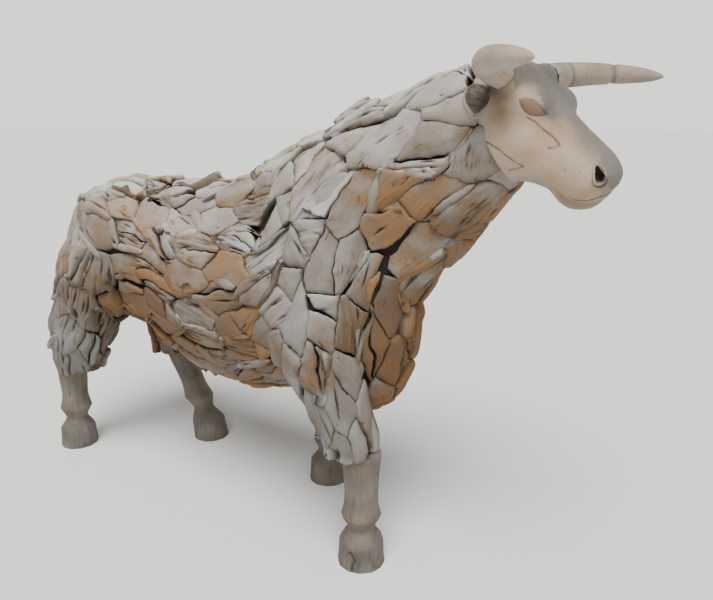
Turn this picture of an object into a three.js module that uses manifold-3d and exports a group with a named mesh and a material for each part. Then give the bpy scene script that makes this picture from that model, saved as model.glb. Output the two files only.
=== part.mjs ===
// Life-size bull standing in mid-stride, built from teak.
// The trunk, neck, thighs and forearms are one mass clad in hundreds of teak root fragments, fused here
// into one solid. The head, horns, ears and the four lower legs with their hooves are carved whole.
// Millimetres, +X towards the nose, +Y towards the bull's left, +Z up, origin on the ground under the middle.
import * as THREE from "three";
import { mergeVertices } from "three/addons/utils/BufferGeometryUtils.js";
import Module from "manifold-3d";

const wasm = await Module();
wasm.setup();

// Driving dimensions
const bullLength = 2320; // from the hind hooves to the nose and the horn tips; the whole pose follows it
const fragmentLength = 205; // a fragment of root, along its grain
const fragmentWidth = 95; // and across it
const grooveDepth = 17; // from the skin of the mass down to the bottom of a joint between fragments
const grooveHalfWidth = 7; // from the bottom of a joint to the edge of a fragment
const fragmentCrown = 9; // the middle of a fragment stands this far above its edge
const fragmentLift = 11; // the proudest fragment's edge stands this far above the lowest one's
const fragmentTilt = 0.06; // a fragment leans by up to half this share
const fragmentTwist = 0.7; // radians between the most twisted grain and the least twisted
const fragmentSpacing = 0.82; // the least distance between two fragments' middles, as a share of their width
const frontLegHeight = 420; // ground to the joint where a front leg enters the fragments
const hindLegHeight = 392; // and a hind leg
const hoofRadius = 81; // at the ground
const hoofHeight = 86; // up to the bevel on top of the hoof
const pasternRadius = 45; // the narrow neck above a hoof
const fetlockRadius = 68; // the carved ring above the pastern
const shankRadius = 60; // the lower leg above the fetlock
const legSides = 12; // flats round a lower leg
const hornRadius = 40; // where it leaves the head
const hornTaper = 0.5; // share of its radius that a horn has lost at its tip
const hornSides = 10;
const bandDepth = 2.5; // the two bands cut round the left horn
const bandPlaces = [0.31, 0.69]; // as shares of the horn's length
const earLength = 182; // from root to tip
const earHalfWidth = 40; // at the ear's widest
const earThickness = 34; // of the ear before it is hollowed
const earSides = 10;
const nostrilRadii = [18, 12, 22]; // the drilled hollow of a nostril: deep, wide and tall
const seatGap = 0.3; // between two pieces that meet
const sideBend = 0.2; // a fragment's side gets a corner in its middle if it bends by more than this share

// The pose is drawn in millimetres for a bull of drawnLength, and scaled to the real length
const drawnLength = 2320;
const scale = bullLength / drawnLength;
const at = (x, y, z) => new THREE.Vector3(x, y, z).multiplyScalar(scale);

// A repeatable source of chance, so that the fragments always fall the same way
function chance(seed) {
  let state = seed;
  return () => {
    state = (state + 0x6d2b79f5) | 0;
    let t = Math.imul(state ^ (state >>> 15), 1 | state);
    t = (t + Math.imul(t ^ (t >>> 7), 61 | t)) ^ t;
    return ((t ^ (t >>> 14)) >>> 0) / 2 ** 32;
  };
}

// Forms. A limb runs from one ball to another; a mass is an ellipsoid. Each has a distance and a grain.
// wide is the limb's width across the bull as a share of its height.
function limb(from, fromRadius, to, toRadius, { wide = 1, grain } = {}) {
  const a = at(...from);
  const along = at(...to).sub(a);
  const lengthSquared = along.lengthSq();
  const [ra, rb] = [fromRadius * scale, toRadius * scale];
  const distance = (x, y, z) => {
    const [px, py, pz] = [x - a.x, y - a.y, z - a.z];
    const share = (px * along.x + py * along.y + pz * along.z) / lengthSquared;
    const t = Math.min(1, Math.max(0, share));
    const [dx, dy, dz] = [px - t * along.x, (py - t * along.y) / wide, pz - t * along.z];
    return (Math.hypot(dx, dy, dz) - (ra + t * (rb - ra))) * Math.min(1, wide);
  };
  return { distance, grain: grain ? new THREE.Vector3(...grain).normalize() : along.clone().normalize() };
}

function mass(centre, radii, { grain = [1, 0, 0] } = {}) {
  const c = at(...centre);
  const r = at(...radii);
  const distance = (x, y, z) => {
    const [ux, uy, uz] = [(x - c.x) / r.x, (y - c.y) / r.y, (z - c.z) / r.z];
    const near = Math.hypot(ux, uy, uz);
    const slope = Math.hypot(ux / r.x, uy / r.y, uz / r.z);
    return slope > 0 ? (near * (near - 1)) / slope : -Math.min(r.x, r.y, r.z);
  };
  return { distance, grain: new THREE.Vector3(...grain).normalize() };
}

const bothSides = (make) => [1, -1].flatMap((side) => make(side));

// The forms melt into each other over the blend length, like clay
function blendOf(forms, blend) {
  const k = blend * scale;
  return (x, y, z) => {
    let sum = 0;
    for (const form of forms) sum += Math.exp(-form.distance(x, y, z) / k);
    return -k * Math.log(sum);
  };
}

function grainOf(forms, blend, p) {
  const k = blend * scale;
  const sum = new THREE.Vector3();
  for (const form of forms) {
    const weight = Math.exp(-form.distance(p.x, p.y, p.z) / k);
    sum.addScaledVector(form.grain, sum.dot(form.grain) < 0 ? -weight : weight);
  }
  return sum.normalize();
}

function normalAt(field, p, step = 2) {
  return new THREE.Vector3(
    field(p.x + step, p.y, p.z) - field(p.x - step, p.y, p.z),
    field(p.x, p.y + step, p.z) - field(p.x, p.y - step, p.z),
    field(p.x, p.y, p.z + step) - field(p.x, p.y, p.z - step),
  ).divideScalar(2 * step);
}

function ontoSkin(field, p, rounds = 3) {
  for (let i = 0; i < rounds; i++) {
    const slope = normalAt(field, p);
    p.addScaledVector(slope, -field(p.x, p.y, p.z) / Math.max(slope.lengthSq(), 0.05));
  }
  return p;
}

// The closed skin where the field is zero: one point in each grid cell that the skin crosses, and one square
// across each grid edge that it crosses. Returns the points and the triangles, facing out.
function skinOf(field, low, high, cell) {
  const count = new THREE.Vector3().subVectors(high, low).divideScalar(cell).ceil().addScalar(1);
  const [nx, ny, nz] = count.toArray();
  const index = (i, j, k) => i + nx * (j + ny * k);
  const values = new Float32Array(nx * ny * nz);
  for (let k = 0; k < nz; k++)
    for (let j = 0; j < ny; j++)
      for (let i = 0; i < nx; i++)
        values[index(i, j, k)] = field(low.x + i * cell, low.y + j * cell, low.z + k * cell);

  const corners = [0, 1, 2, 3, 4, 5, 6, 7].map((n) => [n & 1, (n >> 1) & 1, n >> 2]);
  const edges = [];
  for (let a = 0; a < 8; a++) for (const bit of [1, 2, 4]) if (!(a & bit)) edges.push([a, a | bit]);
  const pointIn = new Map();
  const points = [];
  for (let k = 0; k < nz - 1; k++)
    for (let j = 0; j < ny - 1; j++)
      for (let i = 0; i < nx - 1; i++) {
        const value = corners.map(([x, y, z]) => values[index(i + x, j + y, k + z)]);
        const middle = new THREE.Vector3();
        let crossings = 0;
        for (const [a, b] of edges) {
          if (value[a] < 0 === value[b] < 0) continue;
          const t = value[a] / (value[a] - value[b]);
          const [from, to] = [corners[a], corners[b]];
          middle.add(new THREE.Vector3(...from.map((c, axis) => c + t * (to[axis] - c))));
          crossings++;
        }
        if (!crossings) continue;
        const p = middle.divideScalar(crossings).add(new THREE.Vector3(i, j, k));
        pointIn.set(index(i, j, k), points.length);
        points.push(ontoSkin(field, p.multiplyScalar(cell).add(low)));
      }

  const triangles = [];
  const square = (a, b, c, d) => {
    if (points[a].distanceToSquared(points[c]) < points[b].distanceToSquared(points[d]))
      triangles.push([a, b, c], [a, c, d]);
    else triangles.push([b, c, d], [b, d, a]);
  };
  const steps = [[1, 0, 0], [0, 1, 0], [0, 0, 1]];
  for (let k = 1; k < nz - 1; k++)
    for (let j = 1; j < ny - 1; j++)
      for (let i = 1; i < nx - 1; i++)
        steps.forEach(([x, y, z], axis) => {
          const inside = values[index(i, j, k)] < 0;
          if (inside === values[index(i + x, j + y, k + z)] < 0) return;
          const [u, v] = [steps[(axis + 1) % 3], steps[(axis + 2) % 3]];
          const back = (n, axisIndex, du, dv) => n - du * u[axisIndex] - dv * v[axisIndex];
          const cellAt = (du, dv) =>
            pointIn.get(index(back(i, 0, du, dv), back(j, 1, du, dv), back(k, 2, du, dv)));
          const around = [cellAt(0, 0), cellAt(1, 0), cellAt(1, 1), cellAt(0, 1)];
          if (!inside) around.reverse();
          square(...around);
        });
  return weldClose({ points, triangles }, cell / 8);
}

// Points nearer to each other than a small share of a cell become one, and the triangles between them go
function weldClose({ points, triangles }, reach) {
  const kept = points.map((_, i) => i);
  const keptFor = (i) => (kept[i] === i ? i : (kept[i] = keptFor(kept[i])));
  for (const [a, b, c] of triangles)
    for (const [from, to] of [[a, b], [b, c], [c, a]])
      if (points[from].distanceTo(points[to]) < reach)
        kept[keptFor(Math.max(from, to))] = keptFor(Math.min(from, to));
  const used = [...new Set(points.map((_, i) => keptFor(i)))];
  const place = new Map(used.map((old, i) => [old, i]));
  return {
    points: used.map((old) => points[old]),
    triangles: triangles
      .map((triangle) => triangle.map((i) => place.get(keptFor(i))))
      .filter(([a, b, c]) => a !== b && b !== c && c !== a),
  };
}

// Solids and geometries
function geometryOf({ points, triangles }) {
  const places = new Float32Array(points.flatMap((p) => p.toArray()));
  return new THREE.BufferGeometry()
    .setAttribute("position", new THREE.BufferAttribute(places, 3))
    .setIndex(triangles.flat());
}

function solidOf(geometry) {
  const bare = geometry.clone();
  bare.deleteAttribute("normal");
  bare.deleteAttribute("uv");
  const merged = mergeVertices(bare, 1e-3);
  return new wasm.Manifold(
    new wasm.Mesh({
      numProp: 3,
      vertProperties: new Float32Array(merged.attributes.position.array),
      triVerts: new Uint32Array(merged.index.array),
    }),
  );
}

// The cuts leave some corners a hair apart: those become one corner, and the slivers between them go
function geometryFrom(solid) {
  const mesh = solid.getMesh();
  const raw = new THREE.BufferGeometry()
    .setAttribute("position", new THREE.BufferAttribute(new Float32Array(mesh.vertProperties), 3))
    .setIndex(new THREE.BufferAttribute(new Uint32Array(mesh.triVerts), 1));
  const geometry = mergeVertices(raw, 0.02);
  const index = [...geometry.index.array];
  const kept = [];
  for (let i = 0; i < index.length; i += 3) {
    const [a, b, c] = index.slice(i, i + 3);
    if (a !== b && b !== c && c !== a) kept.push(a, b, c);
  }
  return geometry.setIndex(kept);
}

// A block that fills everything on the far side of a plane, for trimming a solid flat
function beyond(place, direction, gap = 0) {
  const size = 2 * bullLength;
  const towards = new THREE.Quaternion().setFromUnitVectors(new THREE.Vector3(0, 0, 1), direction);
  const block = new THREE.BoxGeometry(size, size, size).translate(0, 0, size / 2 + gap);
  return solidOf(block.applyQuaternion(towards).translate(...place.toArray()));
}

// The trunk, neck and upper legs
const legs = [
  { name: "lower_leg_front_right", side: -1, hoof: [460, -174], top: [470, -190], height: frontLegHeight },
  { name: "lower_leg_front_left", side: 1, hoof: [45, 188], top: [62, 194], height: frontLegHeight },
  { name: "lower_leg_hind_right", side: -1, hoof: [-1098, -232], top: [-1082, -235], height: hindLegHeight },
  { name: "lower_leg_hind_left", side: 1, hoof: [-650, 172], top: [-852, 184], height: hindLegHeight },
];
const bodyBlend = 20;
const bodyForms = [
  limb([-750, 0, 885], 268, [60, 0, 840], 328, { wide: 0.86 }),
  mass([-205, 0, 768], [500, 255, 302]),
  mass([-845, 0, 985], [270, 215, 215], { grain: [1, 0, -0.3] }),
  limb([-880, 0, 1100], 98, [-100, 0, 1148], 105),
  mass([236, 0, 905], [292, 255, 375], { grain: [0.2, 0, 1] }),
  limb([380, 0, 608], 123, [400, 0, 780], 142, { wide: 0.9 }),
  limb([180, 0, 1120], 250, [690, 0, 1395], 168, { wide: 0.76 }),
  limb([-85, 0, 1180], 90, [420, 0, 1394], 98),
  limb([420, 0, 1394], 98, [760, 0, 1500], 90),
  limb([468, 0, 1000], 126, [800, 0, 1350], 92, { wide: 0.88 }),
  ...bothSides((side) => [
    limb([300, 165 * side, 1130], 95, [270, 215 * side, 830], 125, { wide: 0.7, grain: [-0.1, 0, 1] }),
    limb([-845, 130 * side, 1010], 155, [-850, 175 * side, 850], 160, { wide: 0.78, grain: [-0.15, 0, 1] }),
  ]),
  limb([300, -205, 760], 120, [440, -200, 430], 84),
  limb([440, -200, 430], 84, [470, -190, 330], 66),
  limb([215, 205, 760], 120, [80, 196, 430], 84),
  limb([80, 196, 430], 84, [62, 194, 330], 66),
  limb([-872, -170, 850], 158, [-993, -225, 560], 118),
  limb([-993, -225, 560], 118, [-1045, -232, 360], 90),
  limb([-875, 170, 850], 160, [-895, 203, 560], 118),
  limb([-895, 203, 560], 118, [-888, 188, 360], 96),
  limb([-1072, 0, 1085], 50, [-1098, 0, 900], 50),
  limb([-1098, 0, 900], 50, [-1062, 0, 660], 48),
];

const skinCell = 18 * scale;
const bodyField = blendOf(bodyForms, bodyBlend);
const bodySkin = skinOf(bodyField, at(-1400, -420, 200), at(1050, 420, 1700), skinCell);

// Fragments. Each takes the skin nearest to its seed; a step along the grain counts less than one across.
function measureFrom(seed, p, normal) {
  const d = new THREE.Vector3().subVectors(p, seed.place);
  const along = d.dot(seed.grain) / (fragmentLength / fragmentWidth);
  const rest = d.lengthSq() - d.dot(seed.grain) ** 2;
  return Math.sqrt(along * along + rest) * (2 - normal.dot(seed.normal));
}

function seedAt(skin, vertex, twist) {
  const [place, normal] = [skin.points[vertex], skin.normals[vertex]];
  const grain = grainOf(bodyForms, bodyBlend * 3, place).projectOnPlane(normal).normalize();
  return { place, normal, grain: grain.applyAxisAngle(normal, twist), twist };
}

function scatterSeeds(skin, random) {
  const order = skin.points.map((_, i) => i);
  for (let i = order.length - 1; i > 0; i--) {
    const j = Math.floor(random() * (i + 1));
    [order[i], order[j]] = [order[j], order[i]];
  }
  const seeds = [];
  for (const vertex of order) {
    const [p, normal] = [skin.points[vertex], skin.normals[vertex]];
    if (seeds.every((seed) => measureFrom(seed, p, normal) > fragmentSpacing * fragmentWidth))
      seeds.push(seedAt(skin, vertex, (random() - 0.5) * fragmentTwist));
  }
  return seeds;
}

function ownersOf(skin, seeds) {
  const owners = skin.points.map((p, vertex) => {
    let [best, owner] = [Infinity, 0];
    seeds.forEach((seed, i) => {
      if (seed.place.distanceToSquared(p) > (2 * fragmentLength) ** 2) return;
      const measure = measureFrom(seed, p, skin.normals[vertex]);
      if (measure < best) [best, owner] = [measure, i];
    });
    return owner;
  });
  return joinStrays(skin, owners, seeds.length);
}

// A seed keeps only its largest patch; vertices of its other patches go over to their neighbours
function joinStrays(skin, owners, seedCount) {
  const patch = new Int32Array(owners.length).fill(-1);
  const patches = [];
  for (let start = 0; start < owners.length; start++) {
    if (patch[start] >= 0) continue;
    const members = [start];
    patch[start] = patches.length;
    for (const vertex of members)
      for (const next of skin.neighbours[vertex])
        if (patch[next] < 0 && owners[next] === owners[start]) {
          patch[next] = patches.length;
          members.push(next);
        }
    patches.push(members);
  }
  const largest = new Int32Array(seedCount).fill(-1);
  patches.forEach((members, i) => {
    const owner = owners[members[0]];
    if (largest[owner] < 0 || patches[largest[owner]].length < members.length) largest[owner] = i;
  });
  const isStray = (vertex) => largest[owners[vertex]] !== patch[vertex];
  let strays = owners.map((_, vertex) => vertex).filter(isStray);
  for (const vertex of strays) owners[vertex] = -1;
  while (strays.length) {
    const around = (vertex) => skin.neighbours[vertex].map((n) => owners[n]);
    const claimOf = (vertex) => around(vertex).find((owner) => owner >= 0) ?? -1;
    const claims = strays.map(claimOf);
    strays.forEach((vertex, i) => (owners[vertex] = claims[i]));
    strays = strays.filter((vertex) => owners[vertex] < 0);
  }
  return owners;
}

const edgeKey = (a, b) => (a < b ? `${a}-${b}` : `${b}-${a}`);

// Walks round each patch, keeping it on the left, and lists the triangles passed and where three patches meet
function outlinesOf(skin, owners) {
  const steps = new Map();
  skin.triangles.forEach((triangle, t) => {
    const own = triangle.map((v) => owners[v]);
    if (own[0] === own[1] && own[1] === own[2]) return;
    for (const region of new Set(own)) {
      const alone = own.filter((o) => o === region).length === 1;
      const odd = own.findIndex((o) => (o === region) === alone);
      const [a, b, c] = [triangle[odd], triangle[(odd + 1) % 3], triangle[(odd + 2) % 3]];
      const [enter, leave] = alone ? [[a, b], [a, c]] : [[a, c], [a, b]];
      if (!steps.has(region)) steps.set(region, new Map());
      const meeting = new Set(own).size === 3;
      steps.get(region).set(edgeKey(...enter), { leave: edgeKey(...leave), triangle: t, meeting });
    }
  });
  return [...steps].map(([region, step]) => {
    const loops = [];
    const left = new Set(step.keys());
    while (left.size) {
      const loop = [];
      let edge = left.values().next().value;
      while (left.delete(edge)) {
        const { leave, triangle, meeting } = step.get(edge);
        loop.push({ triangle, meeting });
        edge = leave;
      }
      loops.push(loop);
    }
    return { region, loops };
  });
}

function prepareSkin(skin, field) {
  skin.normals = skin.points.map((p) => normalAt(field, p).normalize());
  skin.neighbours = skin.points.map(() => []);
  for (const [a, b, c] of skin.triangles)
    for (const [from, to] of [[a, b], [b, c], [c, a]]) skin.neighbours[from].push(to);
  const sumOf = (triangle) => triangle.reduce((sum, v) => sum.add(skin.points[v]), new THREE.Vector3());
  skin.middles = skin.triangles.map((triangle) => sumOf(triangle).divideScalar(3));
  return skin;
}

// Moves each seed to the middle of its patch
function settleSeeds(skin, seeds, owners) {
  const sums = seeds.map(() => ({ sum: new THREE.Vector3(), count: 0 }));
  owners.forEach((owner, vertex) => {
    sums[owner].sum.add(skin.points[vertex]);
    sums[owner].count++;
  });
  const nearest = seeds.map(() => ({ vertex: -1, gap: Infinity }));
  owners.forEach((owner, vertex) => {
    const middle = sums[owner].sum.clone().divideScalar(sums[owner].count);
    const gap = middle.distanceToSquared(skin.points[vertex]);
    if (gap < nearest[owner].gap) nearest[owner] = { vertex, gap };
  });
  const settled = seeds.map((seed, i) => ({ vertex: nearest[i].vertex, twist: seed.twist }));
  return settled.filter(({ vertex }) => vertex >= 0).map(({ vertex, twist }) => seedAt(skin, vertex, twist));
}

// Seeds whose patches are all simple polygons: one that rings a limb gets a second seed, a two-sided one goes
const settlingRounds = 25;
function layFragments(skin, random) {
  let seeds = scatterSeeds(skin, random);
  for (let round = 0; round < settlingRounds; round++) {
    const owners = ownersOf(skin, seeds);
    if (round === 0) {
      seeds = settleSeeds(skin, seeds, owners);
      continue;
    }
    const outlines = outlinesOf(skin, owners);
    const ringed = outlines.filter(({ loops }) => loops.length > 1).map(({ region }) => region);
    const corners = ({ loops }) => loops[0].filter(({ meeting }) => meeting).length;
    const isThin = (outline) => outline.loops.length === 1 && corners(outline) < 3;
    const thin = new Set(outlines.filter(isThin).map(({ region }) => region));
    if (!ringed.length && !thin.size) return { seeds, outlines };
    const extra = ringed.map((region) => {
      const own = owners.flatMap((owner, vertex) => (owner === region ? [vertex] : []));
      const gap = (v) => measureFrom(seeds[region], skin.points[v], skin.normals[v]);
      return seedAt(skin, own.reduce((a, b) => (gap(b) > gap(a) ? b : a)), seeds[region].twist);
    });
    seeds = [...seeds.filter((_, i) => !thin.has(i)), ...extra];
  }
  throw new Error("the fragments did not settle");
}

// The corners of a fragment: its meetings, and the middle of a side wherever that side bends
function cornersOf(skin, loop) {
  const first = loop.findIndex(({ meeting }) => meeting);
  const turned = [...loop.slice(first), ...loop.slice(0, first)];
  const meetings = turned.flatMap(({ meeting }, i) => (meeting ? [i] : []));
  return meetings.flatMap((from, n) => {
    const to = meetings[n + 1] ?? turned.length;
    const [start, end] = [turned[from], turned[to % turned.length]].map((s) => skin.middles[s.triangle]);
    const chord = new THREE.Line3(start, end);
    const foot = new THREE.Vector3();
    let [bend, farthest] = [sideBend * chord.distance() + grooveHalfWidth, -1];
    for (const { triangle } of turned.slice(from + 1, to)) {
      const middle = skin.middles[triangle];
      const off = middle.distanceTo(chord.closestPointToPoint(middle, true, foot));
      const asFar = Math.abs(off - bend) < 1e-6;
      if (off > bend + 1e-6 || (asFar && triangle < farthest)) [bend, farthest] = [off, triangle];
    }
    return farthest < 0 ? [turned[from].triangle] : [turned[from].triangle, farthest];
  });
}

// One closed solid: each fragment is a crowned polygon, raised by its own lift, with walls into the joints
function cladding(skin, field, random) {
  const { outlines } = layFragments(skin, random);
  const points = [];
  const triangles = [];
  const bottoms = new Map();
  const bottomOf = (triangle) => {
    if (!bottoms.has(triangle)) {
      const place = ontoSkin(field, skin.middles[triangle].clone());
      place.addScaledVector(normalAt(field, place).normalize(), -grooveDepth);
      bottoms.set(triangle, points.push(place) - 1);
    }
    return bottoms.get(triangle);
  };
  for (const { loops } of outlines) {
    const loop = cornersOf(skin, loops[0]);
    const corners = loop.map((triangle) => ontoSkin(field, skin.middles[triangle].clone()));
    const centre = corners.reduce((sum, c) => sum.add(c), new THREE.Vector3()).divideScalar(corners.length);
    ontoSkin(field, centre);
    const lift = random() * fragmentLift - fragmentLift / 2;
    const lean = [random() - 0.5, random() - 0.5, random() - 0.5];
    const tilt = new THREE.Vector3(...lean).multiplyScalar(fragmentTilt);
    const rim = corners.map((corner, i) => {
      const up = normalAt(field, corner).normalize();
      const inward = [corners.at(i - 1), corners[(i + 1) % corners.length]].map((other, side) => {
        const forward = new THREE.Vector3().subVectors(corner, other).multiplyScalar(side ? -1 : 1);
        return forward.cross(up).normalize().negate();
      });
      const mitre = 1 + Math.max(-0.5, inward[0].dot(inward[1]));
      const inset = inward[0].clone().add(inward[1]).divideScalar(mitre);
      const towardsCentre = new THREE.Vector3().subVectors(centre, corner);
      inset.multiplyScalar(grooveHalfWidth).clampLength(0, 0.4 * towardsCentre.length());
      const slope = tilt.dot(towardsCentre);
      return points.push(corner.clone().add(inset).addScaledVector(up, lift + slope)) - 1;
    });
    const crown = centre.clone().addScaledVector(normalAt(field, centre).normalize(), lift + fragmentCrown);
    const top = points.push(crown) - 1;
    const bottom = loop.map(bottomOf);
    loop.forEach((_, i) => {
      const j = (i + 1) % loop.length;
      triangles.push([top, rim[i], rim[j]], [rim[i], bottom[i], bottom[j]], [rim[i], bottom[j], rim[j]]);
    });
  }
  return solidOf(geometryOf({ points, triangles }));
}

// Where the neck ends and the head begins: a plane across the poll and behind the jaw
const neckCut = { place: at(700, 0, 1590), towards: new THREE.Vector3(872, 0, 490).normalize() };

const footRoom = [340, 300]; // a block this long and wide is cleared for each lower leg

function trunk() {
  let body = cladding(prepareSkin(bodySkin, bodyField), bodyField, chance(7));
  body = body.subtract(beyond(neckCut.place, neckCut.towards));
  for (const { top, height } of legs) {
    const foot = new THREE.BoxGeometry(footRoom[0] * scale, footRoom[1] * scale, 2 * height);
    body = body.subtract(solidOf(foot.translate(top[0] * scale, top[1] * scale, 0)));
  }
  return body;
}

// Head
const headTurn = THREE.MathUtils.degToRad(6); // the bull looks a little to its right
const headPivot = at(850, 0, 0);
function turnHead(geometry) {
  return geometry
    .translate(-headPivot.x, 0, 0)
    .rotateZ(-headTurn)
    .translate(headPivot.x, 0, 0);
}
const headForms = [
  mass([815, 0, 1482], [120, 108, 118]),
  limb([880, 0, 1450], 102, [1052, 0, 1328], 74),
  mass([1068, 0, 1306], [76, 75, 62]),
  limb([880, 0, 1352], 62, [985, 0, 1318], 44),
  mass([1038, 0, 1264], [54, 50, 44]),
  ...bothSides((side) => [
    mass([855, 52 * side, 1395], [105, 60, 98]),
    mass([922, 80 * side, 1508], [46, 34, 28]),
    mass([944, 92 * side, 1480], [33, 20, 22]),
    limb([850, 40 * side, 1550], 48, [865, 110 * side, 1560], 42),
  ]),
];
const headField = blendOf(headForms, 14);
const headCell = 27 * scale;
const headSkin = skinOf(headField, at(620, -230, 1120), at(1220, 230, 1700), headCell);

function carvedHead() {
  let head = solidOf(turnHead(geometryOf(headSkin)));
  for (const side of [1, -1]) {
    const nostril = new THREE.SphereGeometry(1, 10, 7).scale(...nostrilRadii);
    nostril.rotateZ(THREE.MathUtils.degToRad(39.5 * side)).translate(1112, 58 * side, 1321);
    head = head.subtract(solidOf(turnHead(nostril.scale(scale, scale, scale))));
  }
  return head.subtract(beyond(neckCut.place, neckCut.towards.clone().negate(), -seatGap));
}

// A round bar along a curve, with its radius given along the way; it ends in points
function sweep(curve, stations, sides) {
  const points = [curve.getPoint(0)];
  const triangles = [];
  const across = new THREE.Vector3(0, 0, 1);
  for (const [share, radius] of stations) {
    const middle = curve.getPoint(share);
    const u = across.clone().projectOnPlane(curve.getTangent(share)).normalize();
    const v = new THREE.Vector3().crossVectors(curve.getTangent(share), u);
    for (let i = 0; i < sides; i++) {
      const turn = (2 * Math.PI * i) / sides;
      const [up, aside] = [radius * Math.cos(turn), radius * Math.sin(turn)];
      points.push(middle.clone().addScaledVector(u, up).addScaledVector(v, aside));
    }
  }
  const end = points.push(curve.getPoint(1)) - 1;
  const ring = (row, i) => 1 + row * sides + (i % sides);
  const last = stations.length - 1;
  for (let i = 0; i < sides; i++) {
    triangles.push([0, ring(0, i + 1), ring(0, i)], [end, ring(last, i), ring(last, i + 1)]);
    for (let row = 0; row < last; row++) {
      triangles.push([ring(row, i), ring(row, i + 1), ring(row + 1, i + 1)]);
      triangles.push([ring(row, i), ring(row + 1, i + 1), ring(row + 1, i)]);
    }
  }
  return geometryOf({ points, triangles });
}

// The left horn has two bands cut round it, the right one is plain
function horn(side) {
  const curve = new THREE.CubicBezierCurve3(
    at(865, 75 * side, 1558),
    at(852, 255 * side, 1580),
    at(930, 350 * side, 1588),
    at(1096, 410 * side, 1570),
  );
  const radius = (share) => hornRadius * (1 - hornTaper * share ** 2);
  const plain = (share) => [[share, radius(share)]];
  const band = (share) => [
    [share - 0.022, radius(share - 0.022)],
    [share - 0.018, radius(share) - bandDepth],
    [share + 0.018, radius(share) - bandDepth],
    [share + 0.022, radius(share + 0.022)],
  ];
  const banded = side > 0 ? band : plain;
  const root = [0.02, 0.1, 0.2].flatMap(plain);
  const middle = [0.43, 0.56].flatMap(plain);
  const rounding = [[0.8, 1], [0.89, 0.9], [0.95, 0.66], [0.985, 0.34]];
  const tip = rounding.map(([share, kept]) => [share, kept * radius(share)]);
  const stations = [...root, ...banded(bandPlaces[0]), ...middle, ...banded(bandPlaces[1]), ...tip];
  return turnHead(sweep(curve, stations, hornSides));
}

// A leaf of wood, hollowed on its front face
function ear(side) {
  const root = at(789, 108 * side, 1543);
  const tip = at(862, 240 * side, 1452);
  const along = new THREE.Vector3().subVectors(tip, root).normalize();
  const front = new THREE.Vector3(0.55, 0.8 * side, 0.1).projectOnPlane(along).normalize();
  const frame = new THREE.Matrix4().makeBasis(along.clone().cross(front), along, front);
  const leaf = (length, halfWidth, thickness) => {
    const profile = [0, 0.08, 0.25, 0.5, 0.75, 0.9, 1].map((share) => {
      const width = Math.sin(Math.PI * share ** 0.85) ** 0.75;
      return new THREE.Vector2(share === 0 || share === 1 ? 0 : halfWidth * width, share * length);
    });
    return new THREE.LatheGeometry(profile, earSides).scale(1, 1, thickness / 2 / halfWidth);
  };
  const place = (geometry) => solidOf(turnHead(geometry.applyMatrix4(frame).translate(...root.toArray())));
  const hollow = leaf(earLength * 0.86, earHalfWidth * 0.78, earThickness);
  hollow.translate(0, earLength * 0.06, earThickness * 0.42);
  return place(leaf(earLength, earHalfWidth, earThickness)).subtract(place(hollow));
}

// A piece that meets the head is cut to the head's skin, grown about the poll by enough to leave the seat gap
function seatedOn(head, piece) {
  const poll = at(850, 0, 1545).toArray();
  const nearest = 85 * scale;
  const grown = head.translate(poll.map((c) => -c)).scale(1 + seatGap / nearest).translate(poll);
  const parts = piece.subtract(grown).decompose();
  return parts.reduce((a, b) => (b.volume() > a.volume() ? b : a));
}

// Lower legs, turned in profile and leaned from the hoof to the joint with the body
function lowerLeg({ hoof, top, height }) {
  const end = height - seatGap;
  const profile = [
    [0, 0],
    [hoofRadius, 0],
    [hoofRadius * 0.98, 12],
    [hoofRadius * 0.93, hoofHeight],
    [hoofRadius * 0.8, hoofHeight + 16],
    [pasternRadius, 130],
    [pasternRadius * 1.04, 142],
    [fetlockRadius, 182],
    [fetlockRadius * 0.93, 202],
    [shankRadius * 0.9, 240],
    [shankRadius, 320],
  ].map(([r, z]) => new THREE.Vector2(r, z * scale));
  profile.push(new THREE.Vector2(shankRadius * 1.1, end), new THREE.Vector2(0, end));
  const geometry = new THREE.LatheGeometry(profile, legSides).rotateX(Math.PI / 2);
  const position = geometry.attributes.position;
  for (let i = 0; i < position.count; i++) {
    const share = Math.max(0, position.getZ(i) / height - 0.15) / 0.85;
    position.setX(i, position.getX(i) + THREE.MathUtils.lerp(hoof[0], top[0], share) * scale);
    position.setY(i, position.getY(i) + THREE.MathUtils.lerp(hoof[1], top[1], share) * scale);
  }
  return geometry;
}

// Teak, greyed by the weather: the clad mass, the carved head and horns, the lower legs
const teak = (name, color) => new THREE.MeshStandardMaterial({ name, color, roughness: 0.85 });
const rootTeak = teak("root_teak", 0xb5a08a);
const carvedTeak = teak("carved_teak", 0xa89a89);
const hornTeak = teak("horn_teak", 0xb8a795);
const legTeak = teak("leg_teak", 0x9c9180);

const group = new THREE.Group();
function add(name, geometry, material) {
  geometry.computeVertexNormals();
  const mesh = new THREE.Mesh(geometry, material);
  mesh.name = name;
  group.add(mesh);
}

const head = carvedHead();
add("body", geometryFrom(trunk()), rootTeak);
add("head", geometryFrom(head), carvedTeak);
for (const [word, side] of [["left", 1], ["right", -1]]) {
  add(`horn_${word}`, geometryFrom(seatedOn(head, solidOf(horn(side)))), hornTeak);
  add(`ear_${word}`, geometryFrom(seatedOn(head, ear(side))), carvedTeak);
}
for (const leg of legs) add(leg.name, lowerLeg(leg), legTeak);

// The origin goes to the ground, under the middle of the bull's bounding box
const box = new THREE.Box3().setFromObject(group);
const middle = box.getCenter(new THREE.Vector3());
for (const mesh of group.children) mesh.geometry.translate(-middle.x, -middle.y, -box.min.z);

export default group;
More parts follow.
